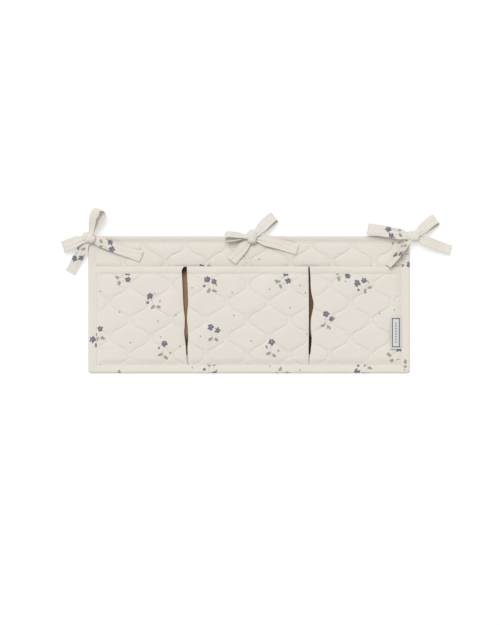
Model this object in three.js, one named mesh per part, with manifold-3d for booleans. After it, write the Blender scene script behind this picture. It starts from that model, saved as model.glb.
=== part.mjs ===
// A quilted cotton pocket panel for the side of a bed or cot, with three tie bows, lying on its back.
// Millimetres. The origin is the middle of the back, +X right, +Y to the tied edge, +Z up from the face.

import * as THREE from "three";
import { mergeVertices } from "three/addons/utils/BufferGeometryUtils.js";
import Module from "manifold-3d";

const wasm = await Module();
wasm.setup();

// Panel
const panelWidth = 600;
const panelHeight = 256;
const cornerRadius = 5;

// Layers of a quilted piece, and the clearance between pieces that lie on each other
const cloth = 0.6;
const wadding = 1.6;
const clearance = 0.3;

// Ogee quilting: the repeat across and up, the narrowest width, a puff's rise and how it fades at an edge
const ogeeWidth = 78;
const ogeeHeight = 65;
const ogeeNeck = 7;
const puff = 1.8;
const puffFade = 10;
const columnsPerStrip = 3;
const rowsPerRepeat = 10;

// Edge binding: its width at the sides and bottom and at the top, its height, cloth and outer fold
const bindingWidth = 16;
const topBindingWidth = 12;
const bindingHeight = 6.6;
const bindingCloth = 0.7;
const bindingFold = 2.4;
const liningStep = 5;

// Pockets: the mouth's height on the panel, how far it stands open, and where the slits between them are
const mouthHeight = 199;
const mouthGap = 9;
const sideEase = 150;
const hemWidth = 14;
const hemFold = 1.6;
const leftPocketWidth = 186;
const rightPocketWidth = 188;
const slitSeam = 1.4;
const leftSlitOpening = 10.5;
const rightSlitOpening = 5.5;
const pleatDepth = 18;

// Where one neck of the quilting falls: across from an edge or slit, and down from the mouth or top edge
const leftNeck = 78;
const middleNeck = 34;
const rightNeck = 38.5;
const pocketNeckDrop = 35.5;
const backNeck = 182.7;
const backNeckDrop = 17;

// Side label
const labelWidth = 20;
const labelLength = 62;
const labelHeight = 75.5;
const labelCloth = 0.5;
const labelClearance = 1;

// Ties: the strap, how it gathers at a knot, and the knot itself
const strapWidth = 20;
const strapThickness = 1;
const gatheredWidth = 11;
const gatherLength = 26;
const knotLength = 21;
const knotWidth = 16;
const knotHeight = 11;
const knotClearance = 0.5;
const loopRise = 0.8;
const tailDrop = 3;
const anchorWidth = 16;

const left = -panelWidth / 2;
const right = panelWidth / 2;
const bottom = -panelHeight / 2;
const top = panelHeight / 2;
const padThickness = 2 * cloth + wadding + 2 * clearance;
const backTop = padThickness;
const seamY = bottom + bindingWidth + clearance;
const mouthY = bottom + mouthHeight;
const sewnLeft = left + bindingWidth + clearance;
const sewnRight = right - bindingWidth - clearance;
const leftSlit = left + leftPocketWidth;
const rightSlit = right - rightPocketWidth;
const hemRoom = bindingCloth + clearance;
const panelRest = bindingHeight + clearance;
const floorRest = clearance;

// Tie bows: where each knot sits and where its strap is sewn, both from the panel's edges. A loop or tail has
// its direction in degrees, its reach from the knot's middle, and the roll of its cloth. A tail that starts
// under a loop bends further out. A loop also has its opening between the two plies.
const bows = [
  {
    name: "left_bow",
    knot: [left + 2, top - 4],
    seam: [left + 19, top - 9],
    knotTurn: -20,
    loops: [
      { name: "upper_loop", angle: 68, reach: 56, opening: 13, roll: -38, rest: floorRest },
      { name: "side_loop", angle: 198, reach: 51, opening: 8, roll: 8, rest: floorRest },
    ],
    tails: [
      { name: "lower_tail", angle: 241, reach: 74, bend: 27, roll: 0, rest: floorRest },
      { name: "long_tail", angle: -20, reach: 104, bend: 0, roll: 0, rest: panelRest },
    ],
  },
  {
    name: "middle_bow",
    knot: [6, top - 1.5],
    seam: [6, top - 16],
    knotTurn: 80,
    loops: [
      { name: "upper_loop", angle: 41, reach: 55, opening: 9, roll: -14, rest: floorRest },
      { name: "side_loop", angle: 180, reach: 50, opening: 11, roll: 52, rest: panelRest },
    ],
    tails: [
      { name: "lower_tail", angle: 230, reach: 60, bend: 26, roll: 0, rest: panelRest },
      { name: "long_tail", angle: -16, reach: 88, bend: 0, roll: 0, rest: panelRest },
    ],
  },
  {
    name: "right_bow",
    knot: [right + 5, top - 1.5],
    seam: [right - 14, top - 9],
    knotTurn: -12,
    loops: [
      { name: "side_loop", angle: 170, reach: 84, opening: 7, roll: 8, rest: panelRest },
      { name: "upper_loop", angle: 36, reach: 54, opening: 9, roll: -10, rest: floorRest },
    ],
    tails: [
      { name: "outer_tail", angle: -19, reach: 76, bend: 0, roll: -24, rest: floorRest },
      { name: "lower_tail", angle: 229, reach: 63, bend: 0, roll: -58, rest: panelRest },
    ],
  },
];

const printed = new THREE.MeshStandardMaterial({ color: 0xe3dfd4, roughness: 0.9, metalness: 0 });
const plain = new THREE.MeshStandardMaterial({ color: 0xe5ded3, roughness: 0.9, metalness: 0 });
const filling = new THREE.MeshStandardMaterial({ color: 0xf4f3ef, roughness: 1, metalness: 0 });
const tan = new THREE.MeshStandardMaterial({ color: 0xa98262, roughness: 0.9, metalness: 0 });
const woven = new THREE.MeshStandardMaterial({ color: 0xf1eee6, roughness: 0.8, metalness: 0 });

const caddy = new THREE.Group();
const { clamp, lerp, smoothstep, degToRad } = THREE.MathUtils;
const up = new THREE.Vector3(0, 0, 1);

function addPiece(name, geometry, material) {
  const mesh = new THREE.Mesh(geometry, material);
  mesh.name = name;
  caddy.add(mesh);
  return mesh;
}

// Boolean helpers
function solidFrom(geometry) {
  const bare = new THREE.BufferGeometry();
  bare.setAttribute("position", geometry.getAttribute("position"));
  bare.setIndex(geometry.getIndex());
  const merged = mergeVertices(bare, 1e-4);
  const mesh = new wasm.Mesh({
    numProp: 3,
    vertProperties: new Float32Array(merged.attributes.position.array),
    triVerts: new Uint32Array(merged.index.array),
  });
  return new wasm.Manifold(mesh);
}

function intersection(geometry, other) {
  const mesh = solidFrom(geometry).intersect(solidFrom(other)).getMesh();
  const result = new THREE.BufferGeometry();
  result.setAttribute("position", new THREE.BufferAttribute(mesh.vertProperties, 3));
  result.setIndex(new THREE.BufferAttribute(mesh.triVerts, 1));
  return result;
}

// A closed sheet over a grid. place(column, row) gives a point's x and y and the heights of both faces.
function gridSheet(columns, rows, place) {
  const points = [];
  const index = [];
  const quad = (a, b, c, d) => index.push(a, b, c, a, c, d);
  const low = (i, j) => 2 * (j * (columns + 1) + i);
  const high = (i, j) => low(i, j) + 1;
  for (let j = 0; j <= rows; j++) {
    for (let i = 0; i <= columns; i++) {
      const at = place(i, j);
      points.push(new THREE.Vector3(at.x, at.y, at.low), new THREE.Vector3(at.x, at.y, at.high));
    }
  }
  for (let j = 0; j < rows; j++) {
    for (let i = 0; i < columns; i++) {
      quad(high(i, j), high(i + 1, j), high(i + 1, j + 1), high(i, j + 1));
      quad(low(i, j), low(i, j + 1), low(i + 1, j + 1), low(i + 1, j));
    }
    quad(low(0, j), high(0, j), high(0, j + 1), low(0, j + 1));
    quad(low(columns, j), low(columns, j + 1), high(columns, j + 1), high(columns, j));
  }
  for (let i = 0; i < columns; i++) {
    quad(low(i, 0), low(i + 1, 0), high(i + 1, 0), high(i, 0));
    quad(low(i, rows), high(i, rows), high(i + 1, rows), low(i + 1, rows));
  }
  return new THREE.BufferGeometry().setFromPoints(points).setIndex(index);
}

// A closed solid through stations. section(station) lists its outline's points counter-clockwise in two axes,
// place(point, station) puts one in space, and the stations run along the first axis crossed with the second.
function loft(stations, section, place) {
  const outlines = stations.map(section);
  const count = outlines[0].length;
  const points = stations.flatMap((station, k) => outlines[k].map((point) => place(point, station)));
  const index = [];
  for (let k = 0; k + 1 < stations.length; k++) {
    for (let i = 0; i < count; i++) {
      const a = k * count + i;
      const b = k * count + ((i + 1) % count);
      index.push(a, b, b + count, a, b + count, a + count);
    }
  }
  for (const [a, b, c] of THREE.ShapeUtils.triangulateShape(outlines[0], [])) {
    index.push(a, c, b);
  }
  const last = (stations.length - 1) * count;
  for (const [a, b, c] of THREE.ShapeUtils.triangulateShape(outlines.at(-1), [])) {
    index.push(last + a, last + b, last + c);
  }
  return new THREE.BufferGeometry().setFromPoints(points).setIndex(index);
}

// A prism over an outline, tall enough to cut any piece
function prism(shape) {
  const depth = 100;
  const geometry = new THREE.ExtrudeGeometry(shape, { depth, bevelEnabled: false, curveSegments: 6 });
  return geometry.translate(0, 0, -depth / 2);
}

const outlineOf = (pairs) => pairs.map(([u, v]) => new THREE.Vector2(u, v));

function steps(from, to, count) {
  return Array.from({ length: count + 1 }, (_, k) => lerp(from, to, k / count));
}

// Ogee quilting: neighbouring lines swing together and apart, half a repeat out of step.
function quiltLine(quilt, n, y) {
  const wave = Math.cos((2 * Math.PI * (y - quilt.y)) / ogeeHeight);
  const swing = (ogeeWidth / 2 - ogeeNeck) / 2;
  const side = n % 2 === 0 ? 1 : -1;
  const squarer = 1.25 * wave - 0.25 * wave ** 3;
  return quilt.x + ((n - 0.5) * ogeeWidth) / 2 + side * swing * squarer;
}

// The face cloth of a quilted pad. base(x, y) is its underside on a quilting line, fade(x, y) a puff's share.
function quiltedFace(quilt, outline, ys, base, fade) {
  const points = outline.getPoints();
  const first = Math.floor((Math.min(...points.map((p) => p.x)) - quilt.x) / (ogeeWidth / 2)) - 1;
  const last = Math.ceil((Math.max(...points.map((p) => p.x)) - quilt.x) / (ogeeWidth / 2)) + 2;
  const columns = (last - first) * columnsPerStrip;
  const geometry = gridSheet(columns, ys.length - 1, (i, j) => {
    const y = ys[j];
    const n = first + Math.floor(i / columnsPerStrip);
    const across = (i % columnsPerStrip) / columnsPerStrip;
    const from = quiltLine(quilt, n, y);
    const width = quiltLine(quilt, n + 1, y) - from;
    const x = from + across * width;
    const crown = (4 * across * (1 - across)) ** 0.6 * Math.min(1, (2 * width) / ogeeWidth) ** 0.8;
    const low = base(x, y) + puff * crown * fade(x, y);
    return { x, y, low, high: low + cloth };
  });
  return intersection(geometry, prism(outline));
}

// Back panel: its layers end inside the binding, where the lining steps up onto the binding's lower ply.
const layerInset = bindingFold + clearance;
const layerLeft = left + layerInset;
const layerRight = right - layerInset;
const layerBottom = bottom + layerInset;
const layerTop = top - layerInset;

function liningRise(x, y) {
  const inward = Math.min(
    x - left - bindingWidth,
    right - bindingWidth - x,
    y - bottom - bindingWidth,
    top - topBindingWidth - y,
  );
  return hemRoom * (1 - clamp((inward - clearance) / liningStep, 0, 1));
}

function backLayer(low, high) {
  const inner = bindingWidth + clearance;
  const innerTop = topBindingWidth + clearance;
  const sides = [inner, inner + liningStep];
  const xs = [layerLeft, ...sides.map((d) => left + d), ...sides.map((d) => right - d).reverse(), layerRight];
  const tops = [top - innerTop - liningStep, top - innerTop];
  const ys = [layerBottom, ...sides.map((d) => bottom + d), ...tops, layerTop];
  return gridSheet(xs.length - 1, ys.length - 1, (i, j) => {
    const rise = liningRise(xs[i], ys[j]);
    return { x: xs[i], y: ys[j], low: low(rise), high: high(rise) };
  });
}

function buildBack() {
  const faceLow = backTop - cloth;
  addPiece("back_lining", backLayer((rise) => rise, (rise) => rise + cloth), plain);
  const waddingTop = faceLow - clearance;
  addPiece("back_wadding", backLayer((rise) => rise + cloth + clearance, () => waddingTop), filling);
  const quilt = { x: left + backNeck, y: top - backNeckDrop };
  const corners = [
    [layerLeft, layerBottom], [layerRight, layerBottom], [layerRight, layerTop], [layerLeft, layerTop],
  ];
  const outline = new THREE.Shape(outlineOf(corners));
  const rows = Math.ceil(((top - mouthY) / ogeeHeight) * rowsPerRepeat);
  const ys = [layerBottom - 1, ...steps(mouthY, top, rows)];
  const fade = (x, y) => {
    const d = Math.min(x - sewnLeft, sewnRight - x, top - topBindingWidth - clearance - y, y - mouthY);
    return clamp(d / puffFade, 0, 1);
  };
  addPiece("back_face", quiltedFace(quilt, outline, ys, () => faceLow, fade), printed);
}

// Edge binding: a strip folded round the panel's edge, mitred at the corners and round outside.
function bindingSection(width) {
  const h = bindingHeight;
  const c = bindingCloth;
  return outlineOf([
    [width, 0], [width, c], [bindingFold, c], [bindingFold, h - c], [width, h - c], [width, h],
    [0.36 * h, h], [0.12 * h, 0.88 * h], [0, 0.64 * h], [0, 0.36 * h], [0.12 * h, 0.12 * h], [0.36 * h, 0],
  ]);
}

function roundedPanel() {
  const r = cornerRadius;
  const shape = new THREE.Shape();
  shape.absarc(right - r, bottom + r, r, -Math.PI / 2, 0, false);
  shape.absarc(right - r, top - r, r, 0, Math.PI / 2, false);
  shape.absarc(left + r, top - r, r, Math.PI / 2, Math.PI, false);
  shape.absarc(left + r, bottom + r, r, Math.PI, 1.5 * Math.PI, false);
  return shape;
}

function buildBinding() {
  const outline = prism(roundedPanel());
  const sides = [
    { name: "binding_bottom", turn: 0, half: panelWidth / 2, out: panelHeight / 2, width: bindingWidth },
    { name: "binding_right", turn: 90, half: panelHeight / 2, out: panelWidth / 2, width: bindingWidth },
    { name: "binding_top", turn: 180, half: panelWidth / 2, out: panelHeight / 2, width: topBindingWidth },
    { name: "binding_left", turn: 270, half: panelHeight / 2, out: panelWidth / 2, width: bindingWidth },
  ];
  sides.forEach((side, k) => {
    const before = sides[(k + 3) % 4].width;
    const after = sides[(k + 1) % 4].width;
    const section = bindingSection(side.width);
    const strip = loft([-1, 1], () => section, (point, end) => {
      const mitre = (point.x * (end < 0 ? before : after)) / side.width + clearance / 2;
      return new THREE.Vector3(end * (side.half - mitre), point.x - side.out, point.y);
    });
    strip.rotateZ(degToRad(side.turn));
    addPiece(side.name, intersection(strip, outline), printed);
  });
}

// Pockets. An edge is a function of the share of the way from the bottom seam up to the mouth.
const bump = (share, middle, spread) => Math.exp(-(((share - middle) / spread) ** 2));
const leftSlitLeft = (share) => leftSlit - slitSeam / 2 - leftSlitOpening * share ** 0.75;
const leftSlitRight = () => leftSlit + slitSeam / 2;
const rightSlitLeft = () => rightSlit - slitSeam / 2;
const rightSlitRight = (share) => {
  const gape = 0.4 * bump(share, 0.24, 0.1) + bump(share, 0.61, 0.13);
  return rightSlit + slitSeam / 2 + rightSlitOpening * gape;
};
const pocketNeckY = mouthY - pocketNeckDrop;
const pockets = [
  {
    name: "left_pocket",
    from: () => sewnLeft,
    to: leftSlitLeft,
    sewnAt: sewnLeft,
    quilt: { x: left + leftNeck, y: pocketNeckY },
    pleats: [{ name: "left_pocket_pleat", slit: leftSlit, side: -1, edge: leftSlitLeft }],
  },
  {
    name: "middle_pocket",
    from: leftSlitRight,
    to: rightSlitLeft,
    quilt: { x: leftSlit + middleNeck, y: pocketNeckY },
    pleats: [
      { name: "middle_pocket_left_pleat", slit: leftSlit, side: 1, edge: leftSlitRight },
      { name: "middle_pocket_right_pleat", slit: rightSlit, side: -1, edge: rightSlitLeft },
    ],
  },
  {
    name: "right_pocket",
    from: rightSlitRight,
    to: () => sewnRight,
    sewnAt: sewnRight,
    quilt: { x: rightSlit + rightNeck, y: pocketNeckY },
    pleats: [{ name: "right_pocket_pleat", slit: rightSlit, side: 1, edge: rightSlitRight }],
  },
];

const heightShare = (y) => clamp((y - seamY) / (mouthY - seamY), 0, 1);

// The underside of a pocket's lining: it rises from the bottom seam to the mouth and from a sewn side.
function lift(pocket, x, y) {
  const rise = 1 - (1 - heightShare(y)) ** 2;
  const side = pocket.sewnAt === undefined ? 1 : smoothstep(Math.abs(x - pocket.sewnAt), 0, sideEase);
  return backTop + clearance + rise * (hemRoom + mouthGap * side);
}

function puffShare(pocket, x, y) {
  const share = heightShare(y);
  const d = Math.min(x - pocket.from(share), pocket.to(share) - x, y - seamY, mouthY - hemWidth - y);
  return clamp(d / puffFade, 0, 1);
}

function pocketOutline(pocket, topY) {
  const ys = steps(seamY, topY, 16);
  const rightSide = ys.map((y) => new THREE.Vector2(pocket.to(heightShare(y)), y));
  const leftSide = ys.map((y) => new THREE.Vector2(pocket.from(heightShare(y)), y)).reverse();
  return new THREE.Shape([...rightSide, ...leftSide]);
}

function pocketLayer(pocket, topY, low, thickness) {
  const columns = pocket.sewnAt === undefined ? 3 : 9;
  const rows = 10;
  return gridSheet(columns, rows, (i, j) => {
    const y = lerp(seamY, topY, j / rows);
    const share = heightShare(y);
    const x = lerp(pocket.from(share), pocket.to(share), i / columns);
    const z = lift(pocket, x, y) + low;
    return { x, y, low: z, high: z + thickness };
  });
}

// The hem is folded over the mouth, with one ply on the face and one on the lining.
function hem(pocket) {
  const c = bindingCloth;
  const low = -clearance - c;
  const high = padThickness + clearance + c;
  const section = outlineOf([
    [hemWidth, low], [hemWidth, low + c], [hemFold, low + c], [hemFold, high - c], [hemWidth, high - c],
    [hemWidth, high], [hemFold, high], [0, high - hemFold], [0, low + hemFold], [hemFold, low],
  ]);
  return loft(steps(1, 0, 14), () => section, (point, across) => {
    const y = mouthY - point.x;
    const share = heightShare(y);
    const x = lerp(pocket.from(share), pocket.to(share), across);
    return new THREE.Vector3(x, y, lift(pocket, x, y) + point.y);
  });
}

// A pleat is folded back under its pocket: one ply on the back panel, one under the pocket's edge.
function pleat(pocket, { slit, side, edge }) {
  const room = 2 * cloth + 2 * clearance + hemRoom;
  const start = 1 - Math.sqrt(1 - room / (hemRoom + mouthGap));
  const seam = slit + (side * clearance) / 2;
  const fold = seam + side * pleatDepth;
  const low = backTop + clearance;
  const heights = steps(1, start, 12).map((share) => lerp(seamY, mouthY - clearance, share));
  const section = (y) => {
    const rim = edge(heightShare(y));
    const high = lift(pocket, rim, y) - hemRoom - clearance;
    const inner = fold - side * cloth;
    const outline = outlineOf([
      [seam, low], [fold, low], [fold, high], [rim, high],
      [rim, high - cloth], [inner, high - cloth], [inner, low + cloth], [seam, low + cloth],
    ]);
    return side > 0 ? outline : outline.reverse();
  };
  return loft(heights, section, (point, y) => new THREE.Vector3(point.x, y, point.y));
}

function buildPocket(pocket) {
  const layerTopY = mouthY - hemFold - clearance;
  const faceLow = padThickness - cloth;
  const rows = Math.ceil(((mouthY - seamY) / ogeeHeight) * rowsPerRepeat);
  const ys = steps(seamY - 1, mouthY, rows);
  const outline = pocketOutline(pocket, layerTopY);
  const base = (x, y) => lift(pocket, x, y) + faceLow;
  const fade = (x, y) => puffShare(pocket, x, y);
  addPiece(`${pocket.name}_lining`, pocketLayer(pocket, layerTopY, 0, cloth), plain);
  const inside = pocketLayer(pocket, layerTopY, cloth + clearance, wadding);
  addPiece(`${pocket.name}_wadding`, inside, filling);
  addPiece(`${pocket.name}_face`, quiltedFace(pocket.quilt, outline, ys, base, fade), printed);
  addPiece(`${pocket.name}_hem`, hem(pocket), printed);
  pocket.pleats.forEach((fold) => addPiece(fold.name, pleat(pocket, fold), tan));
}

// Side label: a folded strip held in the right side seam, lying over the pocket's quilting.
function buildLabel() {
  const pocket = pockets[2];
  const middleY = bottom + labelHeight;
  const across = steps(sewnRight - labelWidth, sewnRight - clearance, 5);
  const along = steps(middleY - labelLength / 2, middleY + labelLength / 2, 8);
  const surface = (x, y) => lift(pocket, x, y) + padThickness + puff * puffShare(pocket, x, y);
  const bed = (x) => Math.max(...along.map((y) => surface(x, y))) + labelClearance;
  const ply = (height) => outlineOf(across.map((x) => [x, bed(x) + height]));
  const upper = labelCloth + clearance;
  const section = [
    ...ply(0),
    ...ply(labelCloth).slice(1).reverse(),
    ...ply(upper).slice(1),
    ...ply(upper + labelCloth).reverse(),
  ];
  const ends = [middleY + labelLength / 2, middleY - labelLength / 2];
  const geometry = loft(ends, () => section, (point, y) => new THREE.Vector3(point.x, y, point.y));
  const mesh = addPiece("side_label", geometry, woven);
  const seam = sewnRight - clearance;
  mesh.userData.hinge = { at: [seam, middleY, bed(seam) + upper + labelCloth], axis: [0, 1, 0] };
}

// A strap along a path of stations, each with its middle, its width and the direction of its width.
function strap(stations) {
  const section = outlineOf([[-0.5, -0.5], [0.5, -0.5], [0.5, 0.5], [-0.5, 0.5]]);
  stations.forEach((station, k) => {
    const before = stations[Math.max(k - 1, 0)].middle;
    const after = stations[Math.min(k + 1, stations.length - 1)].middle;
    const along = after.clone().sub(before).normalize();
    station.across.addScaledVector(along, -station.across.dot(along)).normalize();
    station.normal = along.cross(station.across);
  });
  return loft(stations, () => section, (point, station) => {
    const place = station.middle.clone().addScaledVector(station.across, point.x * station.width);
    return place.addScaledVector(station.normal, point.y * strapThickness);
  });
}

const strapWidthAt = (r) => lerp(gatheredWidth, strapWidth, smoothstep(r, knotLength / 2, gatherLength));
const anchorZ = bindingHeight + clearance;
const knotLow = anchorZ + strapThickness + clearance;
const knotZ = knotLow + knotHeight / 2;
const loopZ = knotZ + loopRise;
const tailZ = knotZ - tailDrop;

function axesOf(ribbon) {
  const angle = degToRad(ribbon.angle);
  const roll = degToRad(ribbon.roll);
  const along = new THREE.Vector3(Math.cos(angle), Math.sin(angle), 0);
  const level = new THREE.Vector3(-Math.sin(angle), Math.cos(angle), 0);
  const across = level.clone().applyAxisAngle(along, roll);
  return { along, level, across, open: along.clone().cross(across), roll };
}

// How far out a strap starts: clear of the knot over the strap's gathered width, at the strap's height.
function exitRadius(knot, { along, level }, z) {
  const surface = knot.mesh.geometry.getAttribute("position");
  let reach = 0;
  for (let k = 0; k < surface.count; k++) {
    const point = new THREE.Vector3().fromBufferAttribute(surface, k).sub(knot.place);
    const beside = Math.abs(point.dot(level)) <= gatheredWidth / 2;
    const atHeight = Math.abs(point.z - z) <= strapThickness + clearance;
    if (beside && atHeight) reach = Math.max(reach, point.dot(along));
  }
  return reach + knotClearance;
}

function hingeOf(knot, along, r, z) {
  const at = knot.place.clone().addScaledVector(along, r).setZ(z);
  const axis = along.clone().cross(up);
  return { at: at.toArray(), axis: axis.toArray() };
}

// A loop runs out on its upper ply, turns round at its tip and comes back on its lower ply.
function buildLoop(bow, knot, loop) {
  const axes = axesOf(loop);
  const { along, across, open, roll } = axes;
  const start = exitRadius(knot, axes, loopZ);
  const half = loop.opening / 2;
  const tilt = (strapWidth / 2) * Math.abs(Math.sin(roll));
  const endZ = loop.rest + half * Math.cos(roll) + strapThickness / 2 + tilt;
  const bendR = loop.reach - half;
  const plyGap = strapThickness / 2 + clearance;
  const station = (r, offset) => {
    const drop = smoothstep(r, gatherLength, loop.reach);
    const middle = knot.place.clone().addScaledVector(along, r).addScaledVector(open, offset);
    middle.z += lerp(loopZ, endZ, drop);
    return { middle, width: strapWidthAt(r), across: across.clone() };
  };
  const ply = (r) => lerp(plyGap, half, smoothstep(r, start, bendR));
  const out = steps(start, bendR, 6).map((r) => station(r, ply(r)));
  const tip = steps(Math.PI / 2, -Math.PI / 2, 6).slice(1, -1);
  const turn = tip.map((a) => station(bendR + half * Math.cos(a), half * Math.sin(a)));
  const back = steps(bendR, start, 6).map((r) => station(r, -ply(r)));
  const mesh = addPiece(`${bow.name}_${loop.name}`, strap([...out, ...turn, ...back]), printed);
  const reachUp = plyGap + strapThickness / 2 + (gatheredWidth / 2) * Math.abs(Math.sin(roll));
  mesh.userData.hinge = hingeOf(knot, along, start, loopZ + reachUp);
}

// A tail leaves the knot low, and comes down onto the panel or over its edge to the floor.
function buildTail(bow, knot, tail) {
  const axes = axesOf(tail);
  const { along, across, roll } = axes;
  const tilt = (strapWidth / 2) * Math.abs(Math.sin(roll));
  const exit = exitRadius(knot, axes, tailZ);
  const start = Math.max(exit, tail.bend);
  const restZ = tail.rest + strapThickness / 2 + tilt;
  const height = (r) => {
    const drop = smoothstep(r, Math.max(gatherLength, start), tail.reach - strapWidth / 2);
    const lean = (strapWidthAt(r) / 2) * Math.abs(Math.sin(roll));
    const overEdge = Math.max(tailZ, knotLow + strapThickness / 2 + lean);
    return lerp(overEdge, restZ, drop);
  };
  const station = (r) => {
    const middle = knot.place.clone().addScaledVector(along, r);
    middle.z += height(r);
    return { middle, width: strapWidthAt(r), across: across.clone() };
  };
  const name = `${bow.name}_${tail.name}`;
  if (start > exit) {
    const root = steps(exit, start - knotClearance, 4).map(station);
    addPiece(`${name}_root`, strap(root), printed);
  }
  const mesh = addPiece(name, strap(steps(start, tail.reach, 9).map(station)), printed);
  const startWidth = strapWidthAt(start);
  const rim = strapThickness / 2 + (startWidth / 2) * Math.abs(Math.sin(roll));
  mesh.userData.hinge = hingeOf(knot, along, start, height(start) + rim);
}

// A knot is a short barrel of wrapped strap, lying on the sewn strap end.
function buildKnot(bow, knot) {
  const profile = outlineOf([
    [0, -0.5], [0.3, -0.5], [0.42, -0.42], [0.5, -0.2], [0.5, 0.2], [0.42, 0.42], [0.3, 0.5], [0, 0.5],
  ]);
  const geometry = new THREE.LatheGeometry(profile, 16);
  geometry.rotateZ(Math.PI / 2);
  geometry.scale(knotLength, knotWidth, knotHeight);
  geometry.rotateZ(degToRad(bow.knotTurn));
  geometry.translate(knot.x, knot.y, knotZ);
  return addPiece(`${bow.name}_knot`, geometry, printed);
}

function buildAnchor(bow, knot) {
  const sewn = new THREE.Vector3(...bow.seam, 0);
  const along = knot.clone().sub(sewn).normalize();
  const across = along.clone().cross(up).negate();
  const z = anchorZ + strapThickness / 2;
  const station = (at) => ({ middle: at.clone().setZ(z), width: anchorWidth, across: across.clone() });
  addPiece(`${bow.name}_anchor`, strap([station(sewn), station(knot)]), printed);
}

function buildBow(bow) {
  const place = new THREE.Vector3(...bow.knot, 0);
  buildAnchor(bow, place);
  const knot = { place, mesh: buildKnot(bow, place) };
  bow.loops.forEach((loop) => buildLoop(bow, knot, loop));
  bow.tails.forEach((tail) => buildTail(bow, knot, tail));
}

buildBack();
buildBinding();
pockets.forEach(buildPocket);
buildLabel();
bows.forEach(buildBow);

export default caddy;
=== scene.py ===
"""A quilted bedside caddy with three pleated pockets and three tied bows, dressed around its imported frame."""

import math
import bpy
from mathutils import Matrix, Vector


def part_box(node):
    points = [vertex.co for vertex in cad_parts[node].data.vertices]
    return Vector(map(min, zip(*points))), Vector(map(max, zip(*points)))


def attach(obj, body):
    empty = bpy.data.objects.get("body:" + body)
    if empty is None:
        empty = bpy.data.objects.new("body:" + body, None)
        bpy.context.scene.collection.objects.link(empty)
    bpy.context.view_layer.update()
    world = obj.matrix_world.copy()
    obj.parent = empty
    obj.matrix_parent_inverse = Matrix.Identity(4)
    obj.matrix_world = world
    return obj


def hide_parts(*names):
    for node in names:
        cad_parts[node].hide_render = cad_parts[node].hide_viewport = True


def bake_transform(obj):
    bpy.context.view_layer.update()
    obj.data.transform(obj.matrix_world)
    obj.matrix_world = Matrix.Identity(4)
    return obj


bl_info = {
    "name": "Quilted Bedside Caddy",
    "version": (1, 0, 0),
    "blender": (4, 5, 0),
    "location": "View3D > Sidebar > Caddy",
    "description": "Makes the quilted cloth, binding, pockets, label and tie bows of a bedside caddy",
    "category": "Add Mesh",
}

from collections import namedtuple

import bpy
import numpy as np
from bpy.props import FloatProperty, FloatVectorProperty, IntProperty, PointerProperty

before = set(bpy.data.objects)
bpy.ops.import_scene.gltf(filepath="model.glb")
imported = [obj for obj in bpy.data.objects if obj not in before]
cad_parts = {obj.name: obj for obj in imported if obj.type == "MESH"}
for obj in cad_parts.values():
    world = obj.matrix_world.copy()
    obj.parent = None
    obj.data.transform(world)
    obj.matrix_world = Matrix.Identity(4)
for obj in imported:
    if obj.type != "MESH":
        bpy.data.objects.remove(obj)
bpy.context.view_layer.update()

PANEL_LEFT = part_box("binding_left")[0].x
PANEL_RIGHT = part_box("binding_right")[1].x
PANEL_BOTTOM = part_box("binding_bottom")[0].y
PANEL_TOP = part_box("binding_top")[1].y
BINDING_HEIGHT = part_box("binding_top")[1].z

# A loop or tail of a bow: its direction, its reach from the knot, a loop's opening between plies, where a tail starts
# to bend, the roll of its cloth, whether it comes down on the panel or beside it, and whether its cloth has sprigs.
# Angles are in degrees
Ribbon = namedtuple("Ribbon", "name angle reach opening bend roll on_panel sprigged")
# A tie: where it is sewn in, how its knot is turned, and its loops and tails
Tie = namedtuple("Tie", "seam turn ribbons")
TIES = {
    "left_bow": Tie((PANEL_LEFT + 0.019, PANEL_TOP - 0.009), -20, [
        Ribbon("upper_loop", 68, 0.056, 0.018, 0.0, -46, False, False),
        Ribbon("side_loop", 198, 0.051, 0.008, 0.0, 8, False, False),
        Ribbon("lower_tail", 241, 0.074, 0.0, 0.027, 0, False, True),
        Ribbon("long_tail", -20, 0.104, 0.0, 0.0, 0, True, True),
    ]),
    "middle_bow": Tie((0.006, PANEL_TOP - 0.016), 80, [
        Ribbon("upper_loop", 41, 0.055, 0.009, 0.0, -14, False, False),
        Ribbon("side_loop", 180, 0.050, 0.012, 0.0, 58, True, False),
        Ribbon("lower_tail", 230, 0.060, 0.0, 0.026, 0, True, False),
        Ribbon("long_tail", -16, 0.088, 0.0, 0.0, 0, True, False),
    ]),
    "right_bow": Tie((PANEL_RIGHT - 0.014, PANEL_TOP - 0.009), -12, [
        Ribbon("side_loop", 170, 0.084, 0.007, 0.0, 8, True, True),
        Ribbon("upper_loop", 36, 0.054, 0.009, 0.0, -10, False, False),
        Ribbon("outer_tail", -19, 0.076, 0.0, 0.0, -24, False, False),
        Ribbon("lower_tail", 230, 0.072, 0.0, 0.0, 60, True, True),
    ]),
}
ANCHOR_WIDTH = 0.016
# How far a knot reaches below its middle
KNOT_DEPTH = 0.0052
# Where a loop or tail would start to bend if it were lifted, from the middle of its knot, and over what length;
# make_ribbon works out these points but nothing here lifts or bends it
BEND_START, BEND_LENGTH = 0.007, 0.016

# Where pieces are cut from the printed cloth, in metres on its map
BACK_CUT = (0.0, 0.105)
HEM_CUT = (0.02, 0.197)
BINDING_CUTS = {"bottom": (0.0, 0.025), "right": (0.65, 0.10), "top": (0.0, 0.195), "left": (-0.43, 0.15)}
PLAIN_CUT = (-0.31, 0.0)
SPRIGGED_CUT = (-0.365, 0.0)
# How far along the tan cloth's map the right slit's pleats are shifted, into the stretch where tan_cotton paints
# shade all along the slit
RIGHT_SLIT_SHADE_SHIFT = 0.5
# How far in from an edge its stitches run, and on a strap, their share of its width from its middle
BINDING_STITCH, HEM_STITCH, STRAP_STITCH = 0.0022, 0.0017, 5 / 12
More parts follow.
